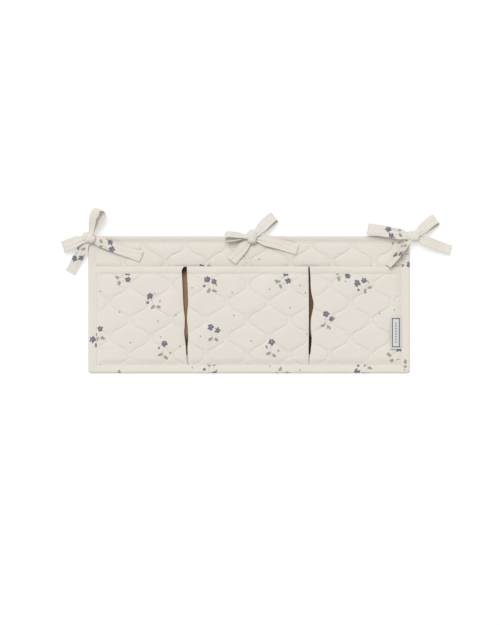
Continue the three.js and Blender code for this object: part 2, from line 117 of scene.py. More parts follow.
# How far the quilting thread stands off the cloth
THREAD_RISE = 0.0001
# Share of the binding's width over which its upper ply comes down to its inner edge
FALL = 0.92
# Length of a grid step along the binding and the hems
STEP = 0.004
# Heights of a pad's lining under a quilting line and under the middle of a puff
BACK_LINING, POCKET_LINING = (0.0007, 0.00015), (0.0007, 0.0002)
# How many frames the puffs swell for
SWELL_FRAMES = 16
# Pitch of the cottons' yarns in millimetres
YARN = 0.62


def length(name, description, default):
    return FloatProperty(name=name, description=description, default=default, min=0.0, unit="LENGTH", precision=4)


def tint(name, description, default):
    return FloatVectorProperty(
        name=name, description=description, default=default, size=3, min=0.0, max=1.0, subtype="COLOR"
    )


class CADDY_PG_sizes(bpy.types.PropertyGroup):
    panel_width: length("Panel width", "Width over the binding", PANEL_RIGHT - PANEL_LEFT)
    panel_height: length("Panel height", "Height over the binding", PANEL_TOP - PANEL_BOTTOM)
    corner_radius: length("Corner radius", "Rounding of the panel's corners", 0.005)
    clearance: length("Clearance", "Space between cloths that lie on each other", 0.0003)
    pad: length("Pad", "Thickness of a quilted pad", 0.0034)
    stitched_pad: length("Stitched pad", "Height of a pad's face on a quilting line", 0.0028)
    ogee_width: length("Ogee width", "Repeat of the quilting across", 0.078)
    ogee_height: length("Ogee height", "Repeat of the quilting up", 0.065)
    ogee_neck: length("Ogee neck", "Narrowest width between two quilting lines", 0.007)
    puff: length("Puff", "Rise of the cloth between quilting lines", 0.0024)
    crease: length("Crease", "Height of the small creases beside the quilting lines", 0.0005)
    puff_fade: length("Puff fade", "How far a puff fades at an edge", 0.010)
    strip_columns: IntProperty(name="Columns", description="Columns between two quilting lines", default=12, min=4)
    row_height: length("Row height", "Height of a row of the quilted grid", 0.0029)
    binding_width: length("Binding width", "Width of the binding at the sides and bottom", 0.016)
    top_binding_width: length("Top binding width", "Width of the binding at the top", 0.012)
    binding_cloth: length("Binding cloth", "Thickness of the binding", 0.0007)
    mouth_height: length("Mouth height", "Height of the pockets' mouths on the panel", 0.199)
    mouth_gap: length("Mouth gap", "How far a pocket's mouth stands open", 0.009)
    slack: length("Slack", "Height of the soft waves in a pocket's cloth", 0.0006)
    side_ease: length("Side ease", "How far from its side seam an outer pocket rises", 0.150)
    hem_width: length("Hem width", "Width of the hem over a pocket's mouth", 0.014)
    left_pocket_width: length("Left pocket", "Width of the left pocket", 0.186)
    right_pocket_width: length("Right pocket", "Width of the right pocket", 0.188)
    slit_seam: length("Slit seam", "Width of a slit where it is closed", 0.0014)
    left_slit_opening: length("Left slit", "How far the left slit gapes at its top", 0.0105)
    right_slit_opening: length("Right slit", "How far the right slit gapes at its middle", 0.0055)
    pleat_depth: length("Pleat depth", "How far a pleat is folded back under its pocket", 0.018)
    pleat_cloth: length("Pleat cloth", "Thickness of a pleat", 0.0006)
    tuck: length("Tuck", "How far a pocket's sewn edge runs in under the binding", 0.005)
    label_width: length("Label width", "How far the label stands out of its seam", 0.020)
    label_length: length("Label length", "Length of the label along its seam", 0.062)
    label_height: length("Label height", "Height of the label's middle on the panel", 0.0755)
    strap_width: length("Strap width", "Width of a tie", 0.020)
    strap_thickness: length("Strap thickness", "Thickness of a tie", 0.0015)
    gathered_width: length("Gathered width", "Width of a tie at its knot", 0.014)
    gather_length: length("Gather length", "How far from the knot a tie is gathered", 0.026)
    knot_length: length("Knot length", "Length of a knot", 0.026)
    knot_width: length("Knot width", "Width of a knot", 0.0195)
    knot_height: length("Knot height", "Height of a knot above its middle", 0.0076)
    stitch: length("Stitch", "Length of a stitch with its gap", 0.0042)
    thread: length("Thread", "Radius of the sewing thread", 0.00022)


class CADDY_PG_colours(bpy.types.PropertyGroup):
    cloth: tint("Cloth", "Unbleached cotton", (0.762, 0.721, 0.658))
    lining: tint("Lining", "Plain cotton of the back and the pockets' insides", (0.78, 0.73, 0.655))
    pleat: tint("Pleat", "Tan cotton of the pleats", (0.41, 0.25, 0.155))
    blossom: tint("Blossom", "Ink of the printed blossoms", (0.105, 0.095, 0.15))
    leaf: tint("Leaf", "Ink of the printed leaves", (0.22, 0.245, 0.175))
    dot: tint("Dot", "Ink of the printed dots", (0.33, 0.30, 0.27))
    label: tint("Label", "Woven label", (0.71, 0.705, 0.685))
    label_border: tint("Label border", "Yarn of the label's border", (0.035, 0.04, 0.06))
    thread: tint("Thread", "Sewing thread", (0.80, 0.76, 0.68))
    floor: tint("Floor", "Plain pale floor", (0.88, 0.88, 0.88))


# Shader graphs

class Value:
    """A shader socket that takes part in Python arithmetic."""

    def __init__(self, finish, socket):
        self.finish, self.socket = finish, socket

    def __add__(self, other):
        return self.finish.math("ADD", self, other)

    def __sub__(self, other):
        return self.finish.math("SUBTRACT", self, other)

    def __rsub__(self, other):
        return self.finish.math("SUBTRACT", other, self)

    def __mul__(self, other):
        return self.finish.math("MULTIPLY", self, other)

    def __truediv__(self, other):
        return self.finish.math("DIVIDE", self, other)

    def __abs__(self):
        return self.finish.math("ABSOLUTE", self)

    __radd__, __rmul__ = __add__, __mul__


class Finish:
    """A material and its node graph."""

    def __init__(self, name):
        self.material = bpy.data.materials.new(name)
        self.material.use_nodes = True
        self.tree = self.material.node_tree
        self.tree.nodes.clear()

    def node(self, kind, settings=None, sockets=None):
        """A node of that kind, with its settings and the values or links of its sockets."""
        made = self.tree.nodes.new(f"ShaderNode{kind}")
        for key, value in (settings or {}).items():
            setattr(made, key, value)
        for key, value in (sockets or {}).items():
            if isinstance(value, Value):
                self.tree.links.new(value.socket, made.inputs[key])
            else:
                made.inputs[key].default_value = value
        return made

    def value(self, kind, output, settings=None, sockets=None):
        return Value(self, self.node(kind, settings, sockets).outputs[output])

    def math(self, operation, *terms, clamp=False):
        settings = {"operation": operation, "use_clamp": clamp}
        return self.value("Math", 0, settings, dict(enumerate(terms)))

    def vector(self, operation, *terms):
        return self.value("VectorMath", 0, {"operation": operation}, dict(enumerate(terms)))

    def scaled(self, vector, factors):
        return self.vector("MULTIPLY", vector, factors)

    def xy(self, vector):
        parts = self.node("SeparateXYZ", None, {0: vector})
        return [Value(self, parts.outputs[k]) for k in (0, 1)]

    def mix(self, share, a, b):
        """Colour a where share is 0 and b where it is 1."""
        return self.value("Mix", 2, {"data_type": "RGBA"}, {0: share, 6: a, 7: b})

    def noise(self, vector, scale, detail, output=0):
        return self.value("TexNoise", output, None, {"Vector": vector, "Scale": scale, "Detail": detail})

    def cloth_place(self):
        """Where a point lies on its cloth, in millimetres, from the piece's own cloth map."""
        return self.scaled(self.value("UVMap", 0, {"uv_map": "cloth"}), (1000.0, 1000.0, 0.0))

    def surface(self, colour, roughness, height, distance, sheen=0.0):
        relief = self.value("Bump", 0, None, {"Strength": 0.6, "Distance": distance, "Height": height})
        shader = self.value("BsdfPrincipled", 0, None, {
            "Base Color": colour, "Roughness": roughness, "Normal": relief, "Sheen Weight": sheen,
            "Sheen Roughness": 0.6, "Specular IOR Level": 0.2,
        })
        self.node("OutputMaterial", None, {"Surface": shader})
        return self.material


def rgba(colour, factors=1.0):
    """A colour for a socket, made paler or deeper."""
    return (*np.minimum(1.0, np.multiply(colour, factors)), 1.0)


def clamp(value):
    return value.finish.math("ADD", value, 0.0, clamp=True)


def petals(x, y, middle, radius):
    """A five-petalled blossom's ink, with larger lower petals and a small pale eye."""
    finish = x.finish
    dx, dy = x - middle[0], y - middle[1]
    away = finish.math("SQRT", dx * dx + dy * dy)
    turn = finish.math("ARCTAN2", dy, dx)
    lobe = abs(finish.math("COSINE", turn * 2.5))
    rim = lobe * (0.36 * radius) + 0.64 * radius - finish.math("SINE", turn) * (0.16 * radius)
    eye = clamp((0.16 * radius - away) * 3.0)
    return clamp(clamp((rim - away) * 2.2) - eye * 0.6)


def leaf(x, y, middle, turn, long, wide):
    """A pointed leaf's ink."""
    c, s = math.cos(math.radians(turn)), math.sin(math.radians(turn))
    dx, dy = x - middle[0], y - middle[1]
    share = (dx * c + dy * s) / long
    return clamp((wide - share * share * wide - abs(dy * c - dx * s)) * 1.8)


def stem(x, y, root, tip, bow):
    """A thin curved stalk's ink from its root up to its tip."""
    share = (y - root[1]) / (tip[1] - root[1])
    middle = share * (tip[0] - root[0]) + root[0] + share * (1 - share) * bow
    return clamp((0.45 - abs(x - middle)) * 3.0) * (clamp(share * 8.0) * clamp((1 - share) * 8.0))


def scatter(finish, place, spacing, randomness):
    """Scattered cells, with two numbers drawn for each."""
    at = finish.scaled(place, (1 / spacing, 1 / spacing, 0.0))
    cells = finish.node("TexVoronoi", {"voronoi_dimensions": "2D", "feature": "F1"},
                        {"Vector": at, "Scale": 1.0, "Randomness": randomness})
    drawn = finish.node("SeparateColor", None, {0: Value(finish, cells.outputs["Color"])})
    return cells, [Value(finish, drawn.outputs[k]) for k in (0, 1)]


def sprigs(finish, place, spacing):
    """Ink of scattered sprigs with a hand-painted outline: blossoms, leaves and stalks."""
    cells, (lean, pick) = scatter(finish, place, spacing, 0.72)
    middle = finish.scaled(Value(finish, cells.outputs["Position"]), (spacing, spacing, 0.0))
    near = finish.scaled(finish.vector("SUBTRACT", place, middle), (0.8, 0.8, 0.0))
    wobble = finish.vector("SUBTRACT", finish.noise(place, 0.28, 1.0, output=1), (0.5, 0.5, 0.5))
    near = finish.vector("ADD", near, finish.scaled(wobble, (4.2, 4.2, 0.0)))
    turned = {"Vector": near, "Angle": (lean - 0.5) * 2.2}
    x, y = finish.xy(finish.value("VectorRotate", 0, {"rotation_type": "Z_AXIS"}, turned))
    paired = finish.math("GREATER_THAN", pick, 0.3)
    budding = finish.math("LESS_THAN", pick, 0.62)
    blooms = petals(x, y, (-3.5, 10.0), 5.4) + petals(x, y, (6.5, 5.0), 4.8) * paired
    blooms = blooms + petals(x, y, (-9.5, 1.5), 2.6) * budding
    green = leaf(x, y, (-4.4, -8.0), 35, 4.6, 2.6) + leaf(x, y, (4.4, -9.5), 150, 4.2, 2.5)
    green = green + leaf(x, y, (9.0, -1.5), 70, 3.2, 1.4) * budding
    stalks = stem(x, y, (0.5, -13.0), (-3.0, 7.0), -4.0) + stem(x, y, (0.8, -9.0), (6.0, 2.5), 3.0) * paired
    return clamp(blooms), clamp(green), clamp(stalks)


def dots(finish, place, spacing, radius):
    """Ink of lone small dots in some of the cells between the sprigs."""
    cells, (_, pick) = scatter(finish, place, spacing, 0.9)
    away = Value(finish, cells.outputs["Distance"]) * spacing
    return clamp((radius - away) * 1.6) * finish.math("GREATER_THAN", pick, 0.35)


class Cotton(Finish):
    """A cotton finish, with the height of its plain weave and the slubs in its yarns."""

    def __init__(self, name):
        super().__init__(name)
        self.place = self.cloth_place()
        warp, weft = (self.math("SINE", way * (2 * math.pi / YARN)) for way in self.xy(self.place))
        slubs = [self.noise(self.scaled(self.place, way), 1.0, 1.0) * 0.5 for way in ((0.9, 0.05, 0), (0.05, 0.9, 0))]
        self.slub = slubs[0] + slubs[1]
        self.height = warp * weft * 0.16 + self.slub * 0.7

    def toned(self, colour, blotch, pale, deep):
        """A colour with soft changes of tone, between a paler and a deeper one."""
        tone = clamp(self.slub * 0.5 + self.noise(self.place, blotch, 3.0) * 0.5)
        return self.mix(tone, rgba(colour, pale), rgba(colour, deep))

    def woven(self, colour, sheen):
        return self.surface(colour, 0.86 + self.slub * 0.1, self.height, 0.00025, sheen)


def printed_cotton(scene):
    """Unbleached cotton with a sparse print of small sprigs."""
    finish, colours = Cotton("printed_cotton"), scene.caddy_colours
    colour = finish.toned(colours.cloth, 0.035, 1.05, (0.95, 0.935, 0.915))
    blooms, green, stalks = sprigs(finish, finish.place, 102.0)
    patchy = clamp(finish.noise(finish.place, 0.9, 2.0) * 0.8 + 0.52)
    for share, ink in (
        (stalks * 0.55, colours.leaf), (green * patchy * 0.85, colours.leaf),
        (blooms * patchy * 0.95, colours.blossom), (dots(finish, finish.place, 50.0, 1.9) * 0.8, colours.dot),
    ):
        colour = finish.mix(share, colour, rgba(ink))
    return finish.woven(colour, 0.08)


def plain_cotton(scene):
    """Cotton in one colour."""
    finish = Cotton("plain_cotton")
    return finish.woven(finish.toned(scene.caddy_colours.lining, 0.04, 1.04, 0.944), 0.08)


def tan_cotton(scene):
    """Tan cotton with painted shade toward a slit's two ends, and painted shade all along the right slit. Its cloth
    map runs across, then up the slit, and the right slit's lies further along it."""
    finish, layout, pleat = Cotton("tan_cotton"), Layout(scene.caddy_sizes), scene.caddy_colours.pleat
    across, up = finish.xy(finish.place)
    # Painted shade all along the right slit, whose pleats and pocket sides lie further along the cloth map
    deeper = clamp((across - 60.0) / 40.0)
    # Painted shade toward the slit's top end and its bottom end
    near_top = clamp((up - (1000 * layout.mouth_y - 22)) / 16.0)
    near_bottom = clamp((1000 * layout.seam_y + 60 - up) / 16.0)
    streak = finish.noise(finish.scaled(finish.place, (0.35, 0.03, 0.0)), 1.0, 3.0)
    ends = near_top * 0.95 + near_bottom * 0.75
    # Painted shade at the ends and along the right slit, with real tone from slubs and streaks, mixes the tan toward
    # deep brown
    shade = clamp(ends + finish.slub * 0.25 + streak * 0.3 + deeper * 0.5 - 0.2)
    return finish.woven(finish.mix(shade, rgba(pleat), rgba(pleat, (0.10, 0.06, 0.04))), 0.05)


def sewing_thread(scene):
    """Twisted sewing thread."""
    finish, thread = Finish("sewing_thread"), scene.caddy_colours.thread
    ply = finish.noise(finish.value("TexCoord", "Object"), 2600.0, 1.0)
    colour = finish.mix(ply, rgba(thread, 1.05), rgba(thread, 0.88))
    return finish.surface(colour, 0.72 + ply * 0.15, ply, 0.0001)


def woven_label(scene):
    """Satin-woven label with a plain border and a row of lozenges in darker yarn. Its cloth map runs along the label,
    then across."""
    finish, colours = Finish("woven_label"), scene.caddy_colours
    place = finish.cloth_place()
    u, v = finish.xy(place)
    ribs = finish.math("SINE", v * (2 * math.pi / 0.45))
    height = ribs * 0.25 + finish.noise(place, 2.2, 1.0) * 0.5
    half = scene.caddy_sizes.label_length * 500 - 3.6
    beside = abs(v - 10.0)
    inward = finish.math("MINIMUM", half - abs(u), 7.8 - beside)
    border = clamp((0.95 - abs(inward - 1.0)) * 4.0)
    lozenge = abs(finish.math("SINE", u * (math.pi / 5.2)))
    row = clamp((lozenge * 1.6 - beside) * 1.6) * clamp((half - 8.0 - abs(u)) * 2.0)
    yarn = clamp(finish.noise(place, 1.6, 2.0) * 0.5 + 0.5)
    colour = finish.mix(yarn, rgba(colours.label, 0.96), rgba(colours.label))
    for share in (row * 0.7, border * 0.95):
        colour = finish.mix(share, colour, rgba(colours.label_border))
    return finish.surface(colour, 0.6 + yarn * 0.15, height, 0.0002, 0.05)


def pale_floor(scene):
    """A pale floor that the camera sees as white where no shadow lies on it."""
    finish, floor = Finish("pale_floor"), scene.caddy_colours.floor
    grain = finish.noise(finish.value("TexCoord", "Object"), 6.0, 2.0)
    diffuse = finish.value("BsdfDiffuse", 0, None, {"Color": finish.mix(grain, rgba(floor, 0.99), rgba(floor))})
    path = finish.node("LightPath")
    rays = [Value(finish, path.outputs[f"Is {name} Ray"]) for name in ("Camera", "Glossy", "Transmission")]
    glow = finish.value("Emission", 0, None, {"Strength": 1.22})
    seen = clamp(rays[0] + rays[1] + rays[2]) * 0.42
    both = finish.value("MixShader", 0, None, {0: seen, 1: diffuse, 2: glow})
    finish.node("OutputMaterial", None, {"Surface": both})
    return finish.material


FINISH_MAKERS = {maker.__name__: maker for maker in (
    printed_cotton, plain_cotton, tan_cotton, sewing_thread, woven_label, pale_floor,
)}
FINISHES = {}


def finish_of(name):
    """The material of that name, made the first time that it is asked for."""
    if name not in FINISHES:
        FINISHES[name] = FINISH_MAKERS[name](bpy.context.scene)
    return FINISHES[name]


# Mesh helpers

def smooth(t):
    t = np.clip(t, 0.0, 1.0)
    return t * t * (3.0 - 2.0 * t)


def lerp(a, b, t):
    return a + (b - a) * t


def bump(t, middle, spread):
    return np.exp(-(((t - middle) / spread) ** 2))


def unit(vectors):
    return vectors / np.linalg.norm(vectors, axis=-1, keepdims=True)


def run_along(path):
    """How far along a path each of its points lies."""
    return np.concatenate([[0.0], np.cumsum(np.linalg.norm(np.diff(path, axis=0), axis=1))])


def between(at, run, path):
    """Points at some distances along a path."""
    return np.stack([np.interp(at, run, path[:, k]) for k in range(3)], 1)


def points_of(piece):
    flat = np.zeros(len(piece.data.vertices) * 3)
    piece.data.vertices.foreach_get("co", flat)
    return flat.reshape(-1, 3)


def set_points(piece, points):
    piece.data.vertices.foreach_set("co", np.asarray(points, np.float32).ravel())
    piece.data.update()


def set_cloth_map(piece, u, v):
    """The piece's own flat map, in metres on the cloth."""
    layer = piece.data.uv_layers[0]
    layer.name = "cloth"
    corner = np.zeros(len(piece.data.loops), int)
    piece.data.loops.foreach_get("vertex_index", corner)
    layer.data.foreach_set("uv", np.stack([u[corner], v[corner]], 1).astype(np.float32).ravel())


def only(piece):
    bpy.ops.object.select_all(action="DESELECT")
    piece.select_set(True)
    bpy.context.view_layer.objects.active = piece


def new_piece(name, add, **settings):
    """A new primitive with its name."""
    bpy.ops.object.select_all(action="DESELECT")
    add(**settings)
    piece = bpy.context.object
    piece.name = piece.data.name = name
    return piece


def grid_piece(name, columns, rows):
    """A new grid with each point's column and row."""
    piece = new_piece(name, bpy.ops.mesh.primitive_grid_add, x_subdivisions=columns, y_subdivisions=rows, size=1.0,
                      calc_uvs=True)
    at = points_of(piece)
    column = np.rint((at[:, 0] + 0.5) * columns).astype(int)
    row = np.rint((at[:, 1] + 0.5) * rows).astype(int)
    return piece, column, row


def edit(piece, operator, **settings):
    """Runs an operator on all of a piece in edit mode."""
    only(piece)
    bpy.ops.object.mode_set(mode="EDIT")
    bpy.ops.mesh.select_all(action="SELECT")
    operator(**settings)
    bpy.ops.object.mode_set(mode="OBJECT")


def apply_modifier(piece, name, kind, **settings):
    modifier = piece.modifiers.new(name, kind)
    for key, value in settings.items():
        setattr(modifier, key, value)
    only(piece)
    bpy.ops.object.modifier_apply(modifier=modifier.name)


def refine(piece):
    apply_modifier(piece, "smooth", "SUBSURF", levels=1, render_levels=1)


def dress(piece, *names):
    for name in names:
        piece.data.materials.append(finish_of(name))
    only(piece)
    bpy.ops.object.shade_smooth()


def finish_sheet(piece, thickness, name):
    """Gives a sheet its thickness, a smooth surface and its finish."""
    apply_modifier(piece, "thickness", "SOLIDIFY", thickness=thickness, offset=0.0)
    refine(piece)
    dress(piece, name)


def mark(piece, name, values):
    """Keeps a number for each point on the mesh, so that it outlasts merging and thickening."""
    piece.data.attributes.new(name, "FLOAT", "POINT").data.foreach_set("value", values.astype(np.float32))


def marked(piece, name):
    values = np.zeros(len(piece.data.vertices), np.float32)
    piece.data.attributes[name].data.foreach_get("value", values)
    return values.astype(float)


def stitches(name, paths, normals=None):
    """Sewing thread along paths: short rounded stitches, each half sunk in the cloth."""
    s = bpy.context.scene.caddy_sizes
    piece = new_piece(name, bpy.ops.mesh.primitive_uv_sphere_add, segments=5, ring_count=4, radius=1.0)
    shape = points_of(piece)
    shape_faces = [list(p.vertices) for p in piece.data.polygons]
    if normals is None:
        normals = [np.tile((0.0, 0.0, 1.0), (len(path), 1)) for path in paths]
    reach = 0.36 * s.stitch
    parts = []
    for path, normal in zip(paths, normals):
        run = run_along(path)
        count = int(run[-1] / s.stitch)
        at = (np.arange(count) + 0.5) * (run[-1] / max(count, 1))
        low, high = (between(np.clip(at + k * reach, 0, run[-1]), run, path) for k in (-1, 1))
        parts.append(((low + high) / 2, (high - low) / 2, between(at, run, normal)))
    middle, along, up = (np.concatenate(part) for part in zip(*parts))
    side = unit(np.cross(up, along))
    up = unit(np.cross(along, side))
    round_it = side[:, None] * shape[None, :, 0:1] + up[:, None] * shape[None, :, 1:2]
    points = middle[:, None] + along[:, None] * shape[None, :, 2:3] + round_it * s.thread
    count = len(shape)
    faces = [[k * count + i for i in face] for k in range(len(middle)) for face in shape_faces]
    piece.data.clear_geometry()
    piece.data.from_pydata(points.reshape(-1, 3), [], faces)
    piece.data.update()
    dress(piece, "sewing_thread")
    edit(piece, bpy.ops.mesh.normals_make_consistent, inside=False)
    return piece


def folded(width, low, high, inset, flats, turns):
    """A cloth folded over an edge, from its upper ply round to its lower: each point's distance in from the edge, its
    height, how far it belongs to the upper ply, and its place along the cloth."""
    r = (high - low) / 2
    flat = np.linspace(width, r + inset, flats)
    turn = np.linspace(np.pi / 2, 1.5 * np.pi, turns)[1:-1]
    inward = np.concatenate([flat, r + inset + r * np.cos(turn), flat[::-1]])
    height = np.concatenate([np.full(flats, high), low + r + r * np.sin(turn), np.full(flats, low)])
    upper = np.concatenate([np.ones(flats), np.clip(np.sin(turn), 0, 1), np.zeros(flats)])
    return inward, height, upper, run_along(np.stack([inward, height], 1))


# Layout

# A pocket's edges are functions of the share of the way from the bottom seam up to the mouth
Pocket = namedtuple("Pocket", "name left_edge right_edge sewn_at quilt pleats")
Pleat = namedtuple("Pleat", "name slit side edge")


class Layout:
    """Where the panel's edges, seams, slits and pockets lie."""

    def __init__(self, sizes):
        s = self.sizes = sizes
        self.left, self.right = -s.panel_width / 2, s.panel_width / 2
        self.bottom, self.top = -s.panel_height / 2, s.panel_height / 2
        self.seam_y = self.bottom + s.binding_width + s.clearance
        self.mouth_y = self.bottom + s.mouth_height
        self.hem_y = self.mouth_y - s.hem_width
        self.sewn_left = self.left + s.binding_width + s.clearance
        self.sewn_right = self.right - s.binding_width - s.clearance
        self.sewn_top = self.top - s.top_binding_width
        self.hem_room = s.binding_cloth + s.clearance
        self.back_quilt = (self.left + 0.1827, self.top - 0.017)
        left_slit = self.left + s.left_pocket_width
        right_slit = self.right - s.right_pocket_width
        half = s.slit_seam / 2
        neck_y = self.mouth_y - 0.0355

        def gape_left(share):
            slack = 0.0012 * (bump(share, 0.47, 0.08) - bump(share, 0.31, 0.07))
            pinch = 1 - 0.38 * smooth((share - 0.95) / 0.05)
            return left_slit - half - s.left_slit_opening * share ** 0.75 * pinch + slack

        def gape_right(share):
            gape = 0.4 * bump(share, 0.25, 0.10) + bump(share, 0.61, 0.11)
            slack = 0.0017 * smooth((share - 0.05) / 0.1) * smooth((1 - share) / 0.14)
            return right_slit + half + s.right_slit_opening * gape + slack

        def middle_left(share):
            slack = bump(share, 1.0, 0.22) + bump(share, 0.47, 0.09) + 0.6 * bump(share, 0.15, 0.08)
            return left_slit + half - 0.0022 * slack

        def middle_right(share):
            slack = 0.0003 * bump(share, 0.46, 0.09) - 0.0008 * bump(share, 1.0, 0.15)
            return right_slit - half + slack

        def fixed(x):
            return lambda share: np.full_like(share, x)

        self.pockets = [
            Pocket("left_pocket", fixed(self.sewn_left), gape_left, self.sewn_left, (self.left + 0.078, neck_y),
                   [Pleat("left_pocket_pleat", left_slit, -1, gape_left)]),
            Pocket("middle_pocket", middle_left, middle_right, None, (left_slit + 0.034, neck_y),
                   [Pleat("middle_pocket_left_pleat", left_slit, 1, middle_left),
                    Pleat("middle_pocket_right_pleat", right_slit, -1, middle_right)]),
            Pocket("right_pocket", gape_right, fixed(self.sewn_right), self.sewn_right, (right_slit + 0.0385, neck_y),
                   [Pleat("right_pocket_pleat", right_slit, 1, gape_right)]),
        ]

    def share(self, y):
        return np.clip((y - self.seam_y) / (self.mouth_y - self.seam_y), 0.0, 1.0)

    def slack(self, x, y):
        """Broad soft waves in cloth that isn't pulled tight."""
        waves = np.sin(70 * x + 38 * y + 0.4) + np.sin(66 * y - 43 * x + 1.9) + 0.5 * np.sin(115 * x - 81 * y + 0.7)
        return self.sizes.slack * waves

    def lift(self, pocket, x, y):
        """Height of a pocket's lining: it rises from the bottom seam to the mouth, and from a sewn side."""
        s = self.sizes
        rise = 1 - (1 - self.share(y)) ** 2
        side = 1.0 if pocket.sewn_at is None else smooth(np.abs(x - pocket.sewn_at) / s.side_ease)
        return s.pad + s.clearance + rise * (self.hem_room + (s.mouth_gap + self.slack(x, y)) * side)

    def from_seam(self, pocket, x, y):
        """How far a point is inside a pocket's sewn edges."""
        inside = y - self.seam_y
        if pocket.sewn_at is None:
            return inside
        return np.minimum(inside, (x - pocket.sewn_at) * np.sign(-pocket.sewn_at))

    def over(self, pocket, x, y, height):
        """A height over a pocket's lining, with the layers drawn together where they run in under the binding."""
        lift = self.lift(pocket, x, y)
        z = lift + height
        held = 1 - smooth((self.from_seam(pocket, x, y) + 0.002) / 0.013)
        drawn = self.sizes.pad + 0.0003 + (z - lift + 0.001) * 0.3
        return lerp(z, np.minimum(z, drawn), held)

    def edges(self, pocket, y):
        """A pocket's left and right edge at some heights, run in under the binding where they are sewn."""
        share, tuck, sewn_at = self.share(y), self.sizes.tuck, pocket.sewn_at or 0.0
        return pocket.left_edge(share) - tuck * (sewn_at < 0), pocket.right_edge(share) + tuck * (sewn_at > 0)

    def in_binding(self, x, y):
        """How far a point of the back is inside the binding."""
        return np.minimum.reduce([x - self.sewn_left, self.sewn_right - x, self.sewn_top - y, y - self.seam_y])

    def back_height(self, x, y):
        """Height of the back on a quilting line: it rises a little to meet the binding."""
        return self.sizes.stitched_pad + 0.0007 * (1 - smooth((self.in_binding(x, y) + 0.001) / 0.013))

    def back_lining(self, x, y, crown):
        """Height of the back's underside: it steps up onto the binding's lower ply."""
        edge = 1 - smooth(self.in_binding(x, y) / 0.005)
        return np.maximum(lerp(*BACK_LINING, crown), edge * 0.001)

    def back_room(self, x, y):
        """The puffs' share at each point of the back, and how high the cloth may stand below the pockets."""
        s = self.sizes
        fade = np.clip((self.in_binding(x, y) + 0.001) / s.puff_fade, 0.0, 1.0)
        ceiling = np.full_like(x, 0.02)
        for pocket in self.pockets:
            low, high = self.edges(pocket, y)
            under = (y < self.mouth_y + 0.003) & (x > low - 0.002) & (x < high + 0.002)
            hem = np.where(y > self.hem_y - 0.003, self.hem_room, 0.0)
            ceiling = np.where(under, np.minimum(ceiling, self.over(pocket, x, y, 0.0) - hem - 0.0009), ceiling)
            for pleat in pocket.pleats:
                beyond = np.abs(x - pleat.slit) - s.pleat_depth - 0.001
                flat = lerp(s.pad, ceiling, smooth(beyond / 0.004))
                ceiling = np.where(y < self.mouth_y + 0.002, np.minimum(ceiling, flat), ceiling)
        return fade, ceiling

    def quilt_line(self, quilt, n, y):
        """A quilting line: neighbours swing together and apart."""
        s = self.sizes
        wave = np.cos(2 * np.pi * (y - quilt[1]) / s.ogee_height)
        swing = (s.ogee_width / 2 - s.ogee_neck) / 2
        side = np.where(np.asarray(n) % 2 == 0, 1.0, -1.0)
        return quilt[0] + (n - 0.5) * s.ogee_width / 2 + side * swing * (1.25 * wave - 0.25 * wave ** 3)

    def strips(self, quilt, low, high):
        half = self.sizes.ogee_width / 2
        return math.floor((low.min() - quilt[0]) / half) - 1, math.ceil((high.max() - quilt[0]) / half) + 2


def layout_of(context):
    return Layout(context.scene.caddy_sizes)


def quilted_sheet(name, layout, quilt, ys, low, high, cut=(0.0, 0.0)):
    """A flat sheet whose columns follow the quilting lines, with its points marked by their share of a puff's
    height and by whether they are sewn down."""
    each = layout.sizes.strip_columns
    first, last = layout.strips(quilt, low, high)
    rows = len(ys) - 1
    piece, i, j = grid_piece(name, (last - first) * each, rows)
    strip = np.minimum(i // each, last - first - 1)
    across = 0.5 - 0.5 * np.cos(np.pi * (i - strip * each) / each)
    y = ys[j]
    start, end = (layout.quilt_line(quilt, first + strip + k, y) for k in (0, 1))
    held_start, held_end = (np.clip(x, low[j], high[j]) for x in (start, end))
    x = lerp(held_start, held_end, across)
    share = np.clip((x - start) / (end - start), 0.0, 1.0)
    narrow = np.minimum(1.0, 2 * (end - start) / layout.sizes.ogee_width)
    crown = (4 * share * (1 - share)) ** 0.6 * narrow ** 0.8
    rim = 0.0015
    sewn = (crown < 1e-3) | (x < low[j] + rim) | (x > high[j] - rim) | (j == 0) | (j == rows)
    mark(piece, "crown", np.where(sewn, 0.0, crown))
    mark(piece, "sewn", sewn.astype(float))
    set_points(piece, np.stack([x, y, np.zeros_like(x)], 1))
    set_cloth_map(piece, x + cut[0], y + cut[1])
    edit(piece, bpy.ops.mesh.remove_doubles, threshold=1e-5)
    return piece


def creases(x, y, crown):
    """Small creases that run out from the quilting lines, where the thread draws the cloth in."""
    beside = 2.6 * np.sqrt(crown) * (1 - crown)
    wave = 0.6 * np.sin(610 * y + 2.1 * np.sin(95 * x + 60 * y) + 1.3 * np.sin(210 * x))
    return beside * (wave + 0.4 * np.sin(430 * y + 380 * x + 1.7 * np.sin(120 * y)))


